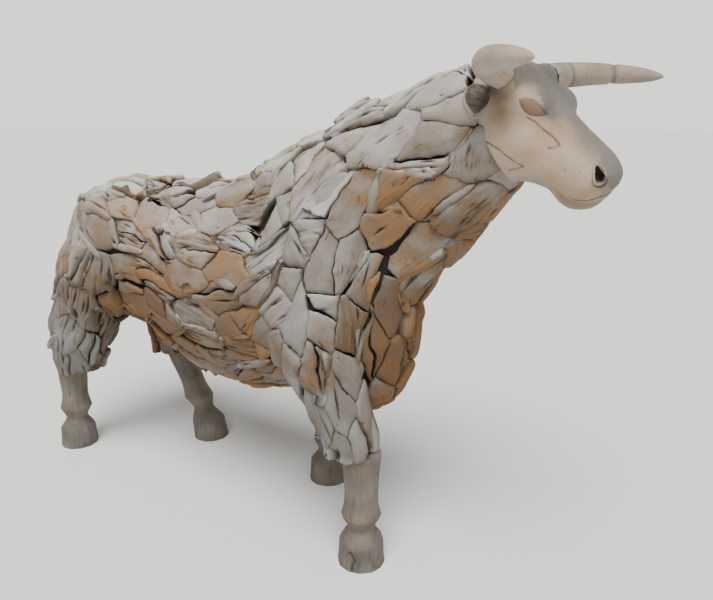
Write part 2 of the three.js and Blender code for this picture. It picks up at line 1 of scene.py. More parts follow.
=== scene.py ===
# %% [markdown]
# # A life-size bull clad in teak root
#
# The real bull is a heavy frame covered with some hundreds of pieces of old teak root, each one
# split, sanded and fixed beside its neighbours like a thick, uneven bark. The head, the horns, the
# ears and the four lower legs are carved from solid teak. The CAD model gives every piece its size
# and place, so this script loads it first and measures everything from it.

# %% Load the frame
import math
import random
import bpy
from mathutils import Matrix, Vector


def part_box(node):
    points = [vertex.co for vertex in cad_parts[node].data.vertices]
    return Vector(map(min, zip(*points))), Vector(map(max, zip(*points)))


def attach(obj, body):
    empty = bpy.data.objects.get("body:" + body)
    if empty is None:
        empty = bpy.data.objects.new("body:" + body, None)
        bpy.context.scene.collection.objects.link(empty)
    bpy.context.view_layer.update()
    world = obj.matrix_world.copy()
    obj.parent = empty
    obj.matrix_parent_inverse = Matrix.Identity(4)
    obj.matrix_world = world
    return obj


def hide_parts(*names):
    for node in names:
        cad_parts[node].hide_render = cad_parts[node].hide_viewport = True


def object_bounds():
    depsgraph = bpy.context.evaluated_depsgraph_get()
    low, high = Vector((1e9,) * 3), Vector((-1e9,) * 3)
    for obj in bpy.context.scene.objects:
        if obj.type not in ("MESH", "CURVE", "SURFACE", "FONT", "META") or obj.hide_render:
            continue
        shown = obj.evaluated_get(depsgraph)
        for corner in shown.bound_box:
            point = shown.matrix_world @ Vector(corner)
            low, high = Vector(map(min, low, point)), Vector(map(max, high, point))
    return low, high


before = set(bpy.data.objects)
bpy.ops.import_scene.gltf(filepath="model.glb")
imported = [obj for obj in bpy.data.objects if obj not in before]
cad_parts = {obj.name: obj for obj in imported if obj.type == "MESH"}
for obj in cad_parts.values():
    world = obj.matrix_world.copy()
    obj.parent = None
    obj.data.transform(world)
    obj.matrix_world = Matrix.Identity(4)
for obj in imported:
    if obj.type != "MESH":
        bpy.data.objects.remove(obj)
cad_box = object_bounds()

from types import SimpleNamespace

import bmesh
import bpy
from mathutils import Vector, noise

MM = 0.001
print("CAD box", [round(c, 3) for corner in cad_box for c in corner])

# %% [markdown]
# ## Camera, floor and light
#
# The photograph was taken by someone who stands in front of the right shoulder and looks down a
# little. The horizon lies well above the middle of the picture, so the camera is pitched down by the
# angle between the two. The lens follows from the focal length in pixels. The floor is pale and
# plain. The light is a white room with a wide skylight overhead, a little towards the camera, so
# that the back of the bull is bright and its flank and belly are darker. The walls glow enough to
# meet the floor without a dark line.

# %% Camera
PHOTO_WIDTH = 713
PHOTO_HEIGHT = 600
FOCAL_PIXELS = 650
HORIZON_ROW = 120
SENSOR = 36.0
BULL_MIDDLE = Vector((0.0175, 0.0237, 0))
EYE = BULL_MIDDLE + Vector((1.544, -1.7505, 1.45))
HEADING = math.radians(35)

lens = bpy.data.cameras.new("camera")
lens.sensor_width = SENSOR
lens.lens = SENSOR * FOCAL_PIXELS / PHOTO_WIDTH
camera = bpy.data.objects.new("camera", lens)
camera.location = EYE
pitch = math.atan((PHOTO_HEIGHT / 2 - HORIZON_ROW) / FOCAL_PIXELS)
camera.rotation_euler = (math.pi / 2 - pitch, 0, HEADING)
bpy.context.scene.collection.objects.link(camera)
bpy.context.scene.camera = camera
print("lens", round(lens.lens, 2), "mm, pitched down", round(math.degrees(pitch), 1), "degrees")


# %% Helpers for materials
def colour(code):
    """An sRGB hex colour as the linear values that the shaders work in"""
    parts = [int(code[i : i + 2], 16) / 255 for i in (1, 3, 5)]
    return [c / 12.92 if c < 0.04045 else ((c + 0.055) / 1.055) ** 2.4 for c in parts] + [1.0]


def add_node(tree, kind, inputs, **settings):
    """Adds one shader node, with its settings and what goes into its sockets"""
    made = tree.nodes.new("ShaderNode" + kind)
    for name, value in settings.items():
        setattr(made, name, value)
    for name, value in inputs.items():
        if isinstance(value, bpy.types.NodeSocket):
            tree.links.new(value, made.inputs[name])
        else:
            made.inputs[name].default_value = value
    return made


def new_material(name):
    """An empty node material, with its shader and its tree"""
    made = bpy.data.materials.new(name)
    made.use_nodes = True
    return made, made.node_tree, made.node_tree.nodes["Principled BSDF"]


# %% Floor and light
FLOOR_SIZE = 200

floor_bm = bmesh.new()
bmesh.ops.create_grid(floor_bm, x_segments=1, y_segments=1, size=FLOOR_SIZE / 2)
floor_mesh = bpy.data.meshes.new("floor")
floor_bm.to_mesh(floor_mesh)
floor = bpy.data.objects.new("floor", floor_mesh)
bpy.context.scene.collection.objects.link(floor)

floor_paint, tree, shader = new_material("pale_floor")
shader.inputs["Base Color"].default_value = colour("#dddcda")
shader.inputs["Roughness"].default_value = 0.9
floor_mesh.materials.append(floor_paint)

CEILING_LIGHT = 0.42
WALL_LIGHT = 1.5
WALL_TOP = (0.15, 0.35)
SKYLIGHT_STRENGTH = 5.2
SKYLIGHT_SPREAD = math.radians(38)
SKYLIGHT_AIM = Vector((-0.22, 0.42, -0.88))

world = bpy.data.worlds.new("soft_room")
world.use_nodes = True
tree = world.node_tree
look = add_node(tree, "TexCoord", {})
rise = add_node(tree, "SeparateXYZ", {"Vector": look.outputs["Generated"]})
walls = add_node(
    tree,
    "MapRange",
    {
        "Value": rise.outputs["Z"],
        "From Min": WALL_TOP[0],
        "From Max": WALL_TOP[1],
        "To Min": WALL_LIGHT,
        "To Max": CEILING_LIGHT,
    },
)
tree.nodes["Background"].inputs["Color"].default_value = colour("#fbfaf8")
tree.links.new(walls.outputs[0], tree.nodes["Background"].inputs["Strength"])
bpy.context.scene.world = world

sun = bpy.data.lights.new("skylight", "SUN")
sun.energy = SKYLIGHT_STRENGTH
sun.angle = SKYLIGHT_SPREAD
skylight = bpy.data.objects.new("skylight", sun)
skylight.rotation_euler = SKYLIGHT_AIM.to_track_quat("-Z", "Y").to_euler()
bpy.context.scene.collection.objects.link(skylight)
print("floor and light made")

# %% [markdown]
# ## Reading the fragments from the CAD body
#
# The CAD body is one solid whose skin is divided by grooves. Each fragment is a small fan of
# triangles, and the grooves between them end in sunken vertices. If every face that touches a sunken
# vertex is deleted, the fans come apart by themselves, and the edge of each fan is the outline of
# one fragment. The flat cuts at the neck and above the lower legs are deleted as well.
#
# In a few places a whole broad face of the body belongs to a groove. Such a face is read on its own
# and clad as a stranded piece, so that no large dark gap is left.

# %% Where the flat cuts are
NECK_CUT_NORMAL = Vector((0.872, 0, 0.490)).normalized()
NECK_CUT_PLACE = BULL_MIDDLE + Vector((0.7, 0, 1.59))
MERGE = 0.1 * MM
NEAR = 0.8 * MM

LEG_NODES = [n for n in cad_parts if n.startswith("lower_leg")]
leg_tops = sorted({round(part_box(n)[1].z, 4) for n in LEG_NODES})


def merged_copy(name):
    """A CAD node's mesh with its loose triangles joined"""
    bm = bmesh.new()
    bm.from_mesh(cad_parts[name].data)
    bmesh.ops.remove_doubles(bm, verts=bm.verts[:], dist=MERGE)
    bm.normal_update()
    return bm


def on_neck_cut(place):
    return abs((place - NECK_CUT_PLACE).dot(NECK_CUT_NORMAL)) < NEAR


def on_leg_cut(place):
    return any(abs(place.z - top) < NEAR for top in leg_tops)


print("the lower legs begin at the heights", leg_tops)


# %% Which faces are which
GROOVE_FOLD = math.radians(90)
BROAD = 22 * MM
SQUARE_ON = 0.99


def is_cut(face):
    """True for a face of a flat cut, where the next part of the bull begins"""
    points = [v.co for v in face.verts]
    at_neck = all(map(on_neck_cut, points)) and face.normal.dot(NECK_CUT_NORMAL) > SQUARE_ON
    return at_neck or (all(map(on_leg_cut, points)) and face.normal.z < -SQUARE_ON)


def is_sunken(vert):
    """True for a vertex on the floor of a groove, where two walls meet in a sharp valley"""
    return min(edge.calc_face_angle_signed(0) for edge in vert.link_edges) < -GROOVE_FOLD


def at_cut(face):
    """True for a face that a flat cut has passed through"""
    return any(on_neck_cut(v.co) or on_leg_cut(v.co) for v in face.verts)


def is_broad(face):
    """True for a face that is too broad for the wall of a groove"""
    return 2 * face.calc_area() / max(edge.calc_length() for edge in face.edges) > BROAD


body_bm = merged_copy("body")
print(sum(map(is_sunken, body_bm.verts)), "of the body's", len(body_bm.verts), "vertices are sunken")
print(sum(map(is_cut, body_bm.faces)), "of its faces lie on the flat cuts")
body_bm.free()


# %% Sheets of faces and their outlines
def outline_of(faces):
    """The edge of a sheet of faces, as its points in order"""
    sheet = set(faces)
    following = {}
    for face in faces:
        for loop in face.loops:
            if sum(f in sheet for f in loop.edge.link_faces) == 1:
                following[loop.vert] = loop.link_loop_next.vert
    first = next(iter(following))
    order = [first]
    while following[order[-1]] is not first and len(order) <= len(following):
        order.append(following[order[-1]])
    return order


def islands_of(bm):
    """The separate sheets of a mesh, as lists of faces"""
    left = dict.fromkeys(bm.faces)
    while left:
        queue = [left.popitem()[0]]
        sheet = []
        while queue:
            face = queue.pop()
            sheet.append(face)
            for edge in face.edges:
                for other in edge.link_faces:
                    if other in left:
                        del left[other]
                        queue.append(other)
        yield sheet


# %% What a fragment is
class Fragment:
    """One piece of root: its outline, its highest point, and its directions along, across and out"""

    def __init__(self, outline, crown, out, proud=0.0, stiffness=0.0):
        self.outline = outline
        self.crown = crown
        self.out = out
        self.proud = proud
        self.stiffness = stiffness
        self.middle = sum(outline, Vector()) / len(outline)
        # The grain runs along the outline's longest direction, as the axis of an ellipse would
        side = out.orthogonal().normalized()
        up = out.cross(side)
        flat = [((p - self.middle).dot(side), (p - self.middle).dot(up)) for p in outline]
        spread = sum(x * x - y * y for x, y in flat)
        lean = sum(2 * x * y for x, y in flat)
        turn = math.atan2(lean, spread) / 2
        self.along = side * math.cos(turn) + up * math.sin(turn)
        self.across = out.cross(self.along)
        reach, breadth = zip(*map(self.flat, outline))
        self.length = max(reach) - min(reach)
        self.width = max(breadth) - min(breadth)

    def flat(self, place):
        """Where a place lies on the piece: how far along the grain, and how far across it"""
        away = place - self.middle
        return self.along.dot(away), self.across.dot(away)


# %% Read the fragments
SMALLEST = 200 * MM * MM
SMALLEST_STRANDED = 600 * MM * MM
STRANDED_RISE = 9 * MM
STRANDED_PROUD = 4 * MM
FACES_OUT = 0.7


def read_fragments(stranded):
    """The fragments of the CAD body, or the stranded faces whose fragment runs into a groove"""
    bm = merged_copy("body")
    sunken = {v for v in bm.verts if is_sunken(v)}
    walls = {f for f in bm.faces if sunken.intersection(f.verts)}
    if stranded:
        walls = {f for f in bm.faces if f not in walls or not is_broad(f)}
    walls |= {f for f in bm.faces if is_cut(f)}
    bmesh.ops.delete(bm, geom=list(walls), context="FACES")
    made = []
    for sheet in islands_of(bm):
        out = sum((f.normal * f.calc_area() for f in sheet), Vector()).normalized()
        flat = [f for f in sheet if not at_cut(f) or f.normal.dot(out) > FACES_OUT]
        if sum(f.calc_area() for f in flat) < (SMALLEST_STRANDED if stranded else SMALLEST):
            continue
        outline = outline_of(flat)
        inner = [v.co for f in flat for v in f.verts if v not in outline]
        edge = [v.co.copy() for v in outline]
        middle = sum(edge, Vector()) / len(edge)
        if stranded:
            made.append(Fragment(edge, middle + out * STRANDED_RISE, out, STRANDED_PROUD))
        else:
            made.append(Fragment(edge, sum(inner, Vector()) / len(inner) if inner else middle, out))
    bm.free()
    return made


fragments = read_fragments(stranded=False)
stranded = read_fragments(stranded=True)
lengths = sorted(round(f.length, 3) for f in fragments)
print(len(fragments), "fragments,", len(stranded), "stranded pieces")
print("shortest", lengths[0], "middle", lengths[len(lengths) // 2], "longest", lengths[-1])

# %% [markdown]
# ## Splitting some fragments
#
# Root splits along its grain, so between the broad pieces there are many narrow ones. Some
# fragments are cut in two along the grain, a few across it, with a bisecting plane that clears one
# side. Each half keeps its own grain. Next to the head and on the right forearm the real bull has
# broad, smooth plates, so nothing is split there.

# %% Where the plain plates are
NECK_PLATES = 130 * MM
FOREARM_START = 0.25
FOREARM_TOP = 0.72


def is_plain(place):
    """True next to the head and on the right forearm, where the pieces are broad and smooth"""
    beside_head = (place - NECK_CUT_PLACE).dot(NECK_CUT_NORMAL) > -NECK_PLATES
    return beside_head or (place.x > FOREARM_START and place.z < FOREARM_TOP)


print(sum(is_plain(f.middle) for f in fragments), "fragments are plain plates")

# %% Split fragments
GAP = 2.5 * MM
WIDEN = 5.8 * MM
SLIM = 1.25
SMALL_WIDTH = 70 * MM
SMALL_LENGTH = 110 * MM
SLIVER = 14 * MM
SPLIT_SHARE = 0.5
LENGTHWISE_SHARE = 0.36
random.seed(11)
noise.seed_set(11)  # else the noise vectors change with every start of Blender


def half_of(fragment, place, direction):
    """The part of a fragment on the near side of a plane"""
    bm = bmesh.new()
    bm.faces.new([bm.verts.new(p) for p in fragment.outline])
    everything = bm.verts[:] + bm.edges[:] + bm.faces[:]
    bmesh.ops.bisect_plane(bm, geom=everything, plane_co=place, plane_no=direction, clear_outer=True)
    outline = [v.co.copy() for v in outline_of(bm.faces[:])] if bm.faces else []
    bm.free()
    if not outline:
        return None
    middle = sum(outline, Vector()) / len(outline)
    rise = (fragment.crown - fragment.middle).dot(fragment.out)
    return Fragment(outline, middle + fragment.out * rise, fragment.out)


def split(fragment):
    """One fragment, or the two halves of it"""
    slim = fragment.length > SLIM * fragment.width
    kind = random.random()
    small = fragment.width < SMALL_WIDTH or fragment.length < SMALL_LENGTH
    if small or kind > SPLIT_SHARE or is_plain(fragment.middle):
        return [fragment]
    lengthwise = kind < LENGTHWISE_SHARE and slim
    turn = random.uniform(-0.3, 0.3)
    base = fragment.across if lengthwise else fragment.along
    other = fragment.along if lengthwise else -fragment.across
    direction = base * math.cos(turn) + other * math.sin(turn)
    size = fragment.width if lengthwise else fragment.length
    place = fragment.middle + base * size * random.uniform(-0.17, 0.17)
    back_off = direction * (WIDEN + GAP / 2)
    near = half_of(fragment, place - back_off, direction)
    far = half_of(fragment, place + back_off, -direction)
    return [h for h in (near, far) if h and len(h.outline) > 2 and h.width > SLIVER]


pieces = [piece for fragment in fragments for piece in split(fragment)] + stranded
print(len(pieces), "pieces after splitting")

# %% [markdown]
# ## Splinters over the joints
#
# Where two long sides meet, a narrow splinter of root is often wedged into the joint. Each splinter
# is a slim lens of ten points that lies along a side of a fragment, and it stands a little proud of
# its neighbours. It is carved in the same way as the broad pieces.

# %% Splinters
SPLINTER_POINTS = 10
SPLINTER_RISE = 9 * MM
SPLINTER_PROUD = 3 * MM
SPLINTER_STIFFNESS = 0.7
SPLINTER_SHARE = 0.2
SHORTEST_SIDE = 48 * MM
WITH_GRAIN = 0.72


def splinter(place, along, out):
    """A slim lens of root that lies along a joint"""
    across = out.cross(along)
    length = random.uniform(85, 190) * MM
    width = random.uniform(12, 30) * MM
    skew = random.uniform(-0.5, 0.5)
    outline = []
    for i in range(SPLINTER_POINTS):
        turn = 2 * math.pi * i / SPLINTER_POINTS
        s = length / 2 * math.cos(turn)
        t = width / 2 * math.sin(turn) * (1 + skew * math.cos(turn))
        outline.append(place + along * s + across * t)
    return Fragment(outline, place + out * SPLINTER_RISE, out, SPLINTER_PROUD, SPLINTER_STIFFNESS)


def splinters_beside(fragment):
    """Splinters along some of the long sides of a fragment"""
    points = [] if is_plain(fragment.middle) else fragment.outline
    for start, end in zip(points, points[1:] + points[:1]):
        side = end - start
        with_grain = abs(side.normalized().dot(fragment.along)) > WITH_GRAIN
        at_end = on_leg_cut(start) or on_neck_cut(start)
        if side.length > SHORTEST_SIDE and with_grain and not at_end and random.random() < SPLINTER_SHARE:
            flat = (side - fragment.out * side.dot(fragment.out)).normalized()
            yield splinter(start + side * random.uniform(0.35, 0.65), flat, fragment.out)


wedged = [s for fragment in fragments for s in splinters_beside(fragment)]
pieces += wedged
print(len(wedged), "splinters,", len(pieces), "pieces in all")

# %% [markdown]
# ## The outline of one piece
#
# A piece starts as one flat face with its outline. The grooves of the CAD body are wider than the
# joints of the real bull, so each outline is moved out first, and further where it has to cover the
# top of a leg or the edge of the neck. Then it wanders a little, so that no side is ruled straight.
# The wander is noise that depends on the place alone, so both sides of a joint wander together.

# %% Noise and ramps
def rough(place, scale, seed=0.0):
    """Smooth noise between about -1 and 1 whose lumps are about scale metres wide"""
    return noise.noise(place / scale + Vector((seed, 3.1 * seed, -1.7 * seed)))


def ramp(value, start, end):
    """0 at start, 1 at end, smooth between them"""
    share = min(1.0, max(0.0, (value - start) / (end - start)))
    return share * share * (3 - 2 * share)


lumps = [rough(f.middle, 50 * MM) for f in fragments]
print("noise at the fragments runs from", round(min(lumps), 2), "to", round(max(lumps), 2))

# %% Move the outline out
HOLE_SIZE = 50 * MM
HOLE_RARITY = 0.46
HELD_BACK = 7 * MM
LEG_OVERLAP = 9 * MM
NECK_OVERLAP = 10 * MM


def widened(piece):
    """The outline moved out into the joint, with a corner held back where a hole shows"""
    points = piece.outline
    made = []
    for i, place in enumerate(points):
        before = (place - points[i - 1]).normalized().cross(piece.out)
        after = (points[(i + 1) % len(points)] - place).normalized().cross(piece.out)
        mitre = (before + after) / max(0.5, 1 + before.dot(after))
        hole = rough(place, HOLE_SIZE, 5.0) > HOLE_RARITY
        step = mitre * (-HELD_BACK if hole else WIDEN)
        if on_leg_cut(place):
            step.z = -LEG_OVERLAP
        if on_neck_cut(place):
            step += NECK_CUT_NORMAL * (NECK_OVERLAP - step.dot(NECK_CUT_NORMAL))
        made.append(place + step)
    return made


print("joints of", round(GAP / MM, 1), "mm, outlines moved out by", round(WIDEN / MM, 1), "mm")


# %% Let the outline wander
BEND_LENGTH = 92 * MM
BEND = 21 * MM
WAVE_LENGTH = 34 * MM
WAVE = 5 * MM
NICK_LENGTH = 15 * MM
NICK = 2 * MM
FRAY_LENGTH = 11 * MM
LEVEL = 0.3


def wander(place, piece, seed, fray):
    """How far a point of the outline strays, so that sides bend and ends are frayed"""
    stiffer = place.lerp(piece.middle, piece.stiffness)
    stray = noise.noise_vector(stiffer / BEND_LENGTH) * BEND
    stray += noise.noise_vector(stiffer / WAVE_LENGTH) * WAVE
    stray += noise.noise_vector(place / NICK_LENGTH + Vector((seed, 0, 0))) * NICK
    stray -= piece.out * stray.dot(piece.out)
    if on_leg_cut(place + Vector((0, 0, LEG_OVERLAP))):
        stray.z *= LEVEL
    if on_neck_cut(place - NECK_CUT_NORMAL * NECK_OVERLAP):
        stray -= NECK_CUT_NORMAL * stray.dot(NECK_CUT_NORMAL)
    s = piece.along.dot(place - piece.middle)
    end = max(0.0, abs(s) / piece.length - 0.3) / 0.2
    return stray + piece.along * math.copysign(fray * end * abs(rough(place, FRAY_LENGTH, seed)), s)


strays = [wander(f.middle, f, 0.0, 0.0).length / MM for f in fragments]
print("outlines stray by up to about", round(max(strays)), "mm")

# %% [markdown]
# ## Carving one piece
#
# Bisecting planes cut the face into a grid that is fine across the grain and long along it, because
# that is how root breaks. The grid is then raised into a crown, broken by a few flat hewn facets,
# furrowed along the grain and opened by splits. Two extrusions make the worn edge and the side that
# goes down into the joint, and one face closes it. The cladding of the front legs narrows down to
# the carved shanks, so a place near their tops is also drawn in towards the middle of the leg.

# %% Narrow the forearms
FOREARM_REACH = 150 * MM
DRAW_IN = 14 * MM


def top_of(name):
    """The middle of the upper end of a CAD node"""
    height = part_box(name)[1].z
    rim = [v.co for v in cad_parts[name].data.vertices if v.co.z > height - NEAR]
    return sum(rim, Vector()) / len(rim)


FOREARM_ENDS = [top_of(n) for n in LEG_NODES if "front" in n]
print("forearms end at", [[round(c, 3) for c in end] for end in FOREARM_ENDS])


def drawn_in(place):
    """A place on a forearm, moved in so that the cladding narrows down to the carved leg"""
    for end in FOREARM_ENDS:
        aside = Vector((place.x - end.x, place.y - end.y, 0))
        if aside.length < FOREARM_REACH:
            place = place - aside.normalized() * DRAW_IN * ramp(place.z, end.z + FOREARM_REACH, end.z)
    return place


# %% Cut the grid
STEP_ALONG = 12 * MM
STEP_ACROSS = 4 * MM
FIRST_CUT = 0.37


def distance_to(sides, s, t):
    """How far a point of the piece lies from its outline, seen from above"""
    best = 1.0
    for (ax, ay), (bx, by) in sides:
        dx, dy = bx - ax, by - ay
        share = ((s - ax) * dx + (t - ay) * dy) / max(dx * dx + dy * dy, 1e-12)
        share = min(1.0, max(0.0, share))
        best = min(best, math.hypot(s - ax - share * dx, t - ay - share * dy))
    return best


def grid_cut(bm, piece):
    """Cuts the face across and along the grain"""
    for axis, step in ((piece.along, STEP_ALONG), (piece.across, STEP_ACROSS)):
        reach = [axis.dot(v.co - piece.middle) for v in bm.verts]
        for i in range(math.ceil(min(reach) / step), math.floor(max(reach) / step) + 1):
            bmesh.ops.bisect_plane(
                bm,
                geom=bm.verts[:] + bm.edges[:] + bm.faces[:],
                dist=1e-5,
                plane_co=piece.middle + axis * (i + FIRST_CUT) * step,
                plane_no=axis,
            )


print("grid", round(STEP_ALONG / MM), "mm along the grain,", round(STEP_ACROSS / MM), "mm across it")


# %% Relief of a piece
EDGE_ROUND = 5 * MM
EDGE_DROP = 2.2 * MM
SLAB = 5.5 * MM
HEWN = 10 * MM
SPLIT_DEPTH = 10 * MM
GNARLED_SHARE = 0.36
GNARLED_PLATES = 0.12
SWAY = 8 * MM
SWAY_LENGTH = 90 * MM
FURROW_LENGTH = 120 * MM
FURROW_WIDTH = 13 * MM
FINE_LENGTH = 50 * MM
FINE_WIDTH = 7 * MM
SWELL = 4 * MM
SWELL_LENGTH = 75 * MM
SWELL_WIDTH = 45 * MM
CALM_RIM = 12 * MM


class Relief:
    """The chosen shape of one piece: how it lies, where it was hewn flat, its furrows and its splits"""

    def __init__(self, piece, number):
        chance = random.Random(number)
        plain = is_plain(piece.middle)
        calm = 0.4 if plain else 1.0
        self.seed = chance.uniform(0, 90)
        self.gnarled = chance.random() < (GNARLED_PLATES if plain else GNARLED_SHARE)
        self.rise = (piece.crown - piece.middle).dot(piece.out)
        self.lift = SLAB + piece.proud + chance.uniform(-6, 7) * calm * MM
        self.tip = chance.uniform(-0.07, 0.07)
        self.roll = chance.uniform(-0.18, 0.18) * calm
        self.ridge = chance.uniform(3.2, 6.5) * MM if self.gnarled else chance.uniform(0.2, 0.9) * MM
        # A facet is a flat place that falls away from a line: the line's direction and place, and its slope
        self.facets = []
        for _ in range(chance.choice((1, 2, 2, 3))):
            turn = chance.uniform(0, 2 * math.pi)
            start = chance.uniform(-0.1, 0.3) * piece.width
            slope = chance.uniform(0.08, 0.36) * (0.2 + 0.8 * abs(math.sin(turn)))
            self.facets.append((math.cos(turn), math.sin(turn), start, slope))
        # A split is a slim lens along the grain: its middle, its place across, its reach, bend and width
        self.splits = []
        for _ in range(chance.choice((1, 2, 3)) if self.gnarled else chance.choice((0, 0, 0, 1))):
            reach = chance.uniform(0.15, 0.4) * piece.length
            middle = chance.uniform(-0.32, 0.32) * piece.length
            aside = chance.uniform(-0.34, 0.34) * piece.width
            bend = chance.uniform(-0.12, 0.12)
            self.splits.append((middle, aside, reach, bend, chance.uniform(2.5, 5) * MM))
        self.warm = chance.gauss(0, 0.15)
        self.light = chance.uniform(0.1, 0.65)

    def furrow(self, s, t):
        """Furrows that run along the grain, between about -1 and 1"""
        aside = t + SWAY * noise.noise(Vector((s / SWAY_LENGTH, self.seed, 0)))
        broad = noise.noise(Vector((s / FURROW_LENGTH, aside / FURROW_WIDTH, self.seed)))
        fine = noise.noise(Vector((s / FINE_LENGTH, aside / FINE_WIDTH, self.seed + 9)))
        return broad + 0.45 * fine

    def opening(self, s, t):
        """1 in the middle of a split, 0 beside it"""
        widest = 0.0
        for middle, aside, reach, bend, width in self.splits:
            u = (s - middle) / reach
            if abs(u) < 1:
                v = (t - aside - bend * (s - middle)) / (width * (1.2 - abs(u)))
                widest = max(widest, (1 - u * u) * max(0.0, 1 - v * v))
        return widest

    def height(self, s, t, depth, share):
        """How far the surface stands above the rim at a place of the piece"""
        made = self.lift + (self.rise - SLAB) * (1 - (1 - share) ** 3) + self.tip * s + self.roll * t
        hewn = sum(slope * max(0.0, fx * s + fy * t - start) for fx, fy, start, slope in self.facets)
        made -= HEWN * (1 - math.exp(-hewn / HEWN))
        inward = min(1.0, depth / CALM_RIM)
        made += self.ridge * self.furrow(s, t) * (0.35 + 0.65 * inward)
        made += SWELL * noise.noise(Vector((s / SWELL_LENGTH, t / SWELL_WIDTH, self.seed + 4)))
        made -= SPLIT_DEPTH * self.opening(s, t)
        return made - EDGE_DROP * max(0.0, 1 - depth / EDGE_ROUND) ** 2

    def hollow(self, s, t):
        """How dark a furrow or a split is painted at a place of the piece, for the shade that lies in it"""
        furrow = min(1.0, max(0.0, -self.furrow(s, t) * self.ridge / (5 * MM) - 0.15))
        return max(furrow, 1.4 * self.opening(s, t) - 0.2)


reliefs = [Relief(piece, number) for number, piece in enumerate(pieces)]
print(sum(r.gnarled for r in reliefs), "gnarled pieces,", sum(len(r.splits) for r in reliefs), "splits")


# %% Top of a piece
EDGE_STEP = 7 * MM
FRAYED = 14 * MM
NEAT = 5 * MM


def trimmed(piece, relief):
    """One flat face with the outline of a piece, after it has wandered and frayed"""
    bm = bmesh.new()
    bm.verts.layers.float_color.new("tone")
    bm.loops.layers.uv.new("grain")
    bm.faces.new([bm.verts.new(p) for p in widened(piece)])
    for edge in bm.edges[:]:
        cuts = int(edge.calc_length() / EDGE_STEP)
        if cuts:
            bmesh.ops.subdivide_edges(bm, edges=[edge], cuts=cuts)
    for vert in bm.verts:
        vert.co += wander(vert.co, piece, relief.seed, FRAYED if relief.gnarled else NEAT)
    return bm


def raise_top(bm, piece, relief):
    """Cuts the face into its grid, lifts it into its relief and stores its tones"""
    tone = bm.verts.layers.float_color["tone"]
    loop = [piece.flat(v.co) for v in outline_of(bm.faces[:])]
    sides = [(loop[i - 1], loop[i]) for i in range(len(loop))]
    grid_cut(bm, piece)
    depths = {v: distance_to(sides, *piece.flat(v.co)) for v in bm.verts}
    deepest = max(max(depths.values()), 1 * MM)
    for vert, depth in depths.items():
        s, t = piece.flat(vert.co)
        vert.co = drawn_in(vert.co + piece.out * relief.height(s, t, depth, depth / deepest))
        vert[tone] = (relief.warm, relief.light, relief.hollow(s, t), 1.0)


# %% Sides of a piece
EDGE_RING = (5 * MM, -0.4 * MM)
JOINT_RING = (26 * MM, 2 * MM)
EDGE_SHADE = 0.25


def add_sides(bm, piece, relief):
    """The worn edge and the side that goes down into the joint, painted darker for the shade there, closed by
    one face below
    """
    tone = bm.verts.layers.float_color["tone"]
    for drop, inward in (EDGE_RING, JOINT_RING):
        rim = [e for e in bm.edges if e.is_boundary]
        grown = bmesh.ops.extrude_edge_only(bm, edges=rim)["geom"]
        for vert in (g for g in grown if isinstance(g, bmesh.types.BMVert)):
            towards = piece.middle - vert.co
            towards -= piece.out * towards.dot(piece.out)
            vert.co += towards.normalized() * inward - piece.out * drop
            # The side in the joint is painted fully dark and the worn edge a little, for the shade that falls
            # there
            vert[tone] = (relief.warm, relief.light, 1.0 if inward > 0 else EDGE_SHADE, 1.0)
    bmesh.ops.contextual_create(bm, geom=[e for e in bm.edges if e.is_boundary])
    bmesh.ops.recalc_face_normals(bm, faces=bm.faces[:])


def lay_grain(bm, piece, relief):
    """A UV map in metres along and across the grain, which starts elsewhere on each piece"""
    grain = bm.loops.layers.uv["grain"]
    for face in bm.faces:
        face.smooth = True
        for corner in face.loops:
            s, t = piece.flat(corner.vert.co)
            above = piece.out.dot(corner.vert.co - piece.middle)
            corner[grain].uv = (s + relief.seed, t + above + relief.seed)


# %% Carve a piece
def carve(piece, relief):
    """A closed mesh of one piece, with its grain as UV and its tones as an attribute"""
    bm = trimmed(piece, relief)
    raise_top(bm, piece, relief)
    add_sides(bm, piece, relief)
    lay_grain(bm, piece, relief)
    return bm


sample = carve(pieces[0], reliefs[0])
print("the first piece has", len(sample.verts), "vertices and", len(sample.faces), "faces")
sample.free()

# %% [markdown]
# ## The colour of each piece
#
# The upper side of the bull has weathered to a silver grey, and what faces the ground has kept the
# warm brown of teak. The throat is the warmest, and the haunch, the shoulder and the forearms are
# grey. Each piece also has its own place between the two. Both are stored with the vertices as an
# attribute, red for warmth, green for light and blue for hollows, so that the material can read it.
# The green also holds painted light on what faces up and painted shade on what faces forward, and
# the blue holds painted shade on the sides of the joints and in furrows and splits.

# %% Warm and light places
def warmth(place, out):
    """0 for weathered grey, 1 for warm brown, at a place of the skin"""
    beside = ramp(abs(place.y - 0.02), 0.08, 0.17)
    flank = ramp(place.x, 0.22, 0.02) * ramp(place.x, -0.85, -0.65)
    made = 0.30 - 0.42 * out.z + 0.28 * rough(place, 0.26, 2.0)
    # The belly
    made += 0.42 * max(0.0, (0.80 - place.z) / 0.3) * ramp(abs(place.y), 0.28, 0.2)
    # The throat, where it faces forward and not up
    throat = max(0.0, out.x) * max(0.0, 1 - abs(place.x - 0.55) / 0.36)
    made += 0.55 * throat * (1 - 0.6 * ramp(out.z, -0.1, 0.35))
    # The flank, then the shoulder, the limbs and the upper neck
    made += 0.16 * flank * ramp(place.z, 1.15, 0.98)
    made -= 0.38 * max(0.0, 1 - abs(place.x - 0.36) / 0.24) * beside * ramp(place.z, 1.25, 1.05)
    made -= 0.7 * ramp(place.z, 0.72, 0.54) * beside
    made -= 0.15 * ramp(place.x, 0.3, 0.5) * ramp(place.z, 1.1, 1.3)
    return made


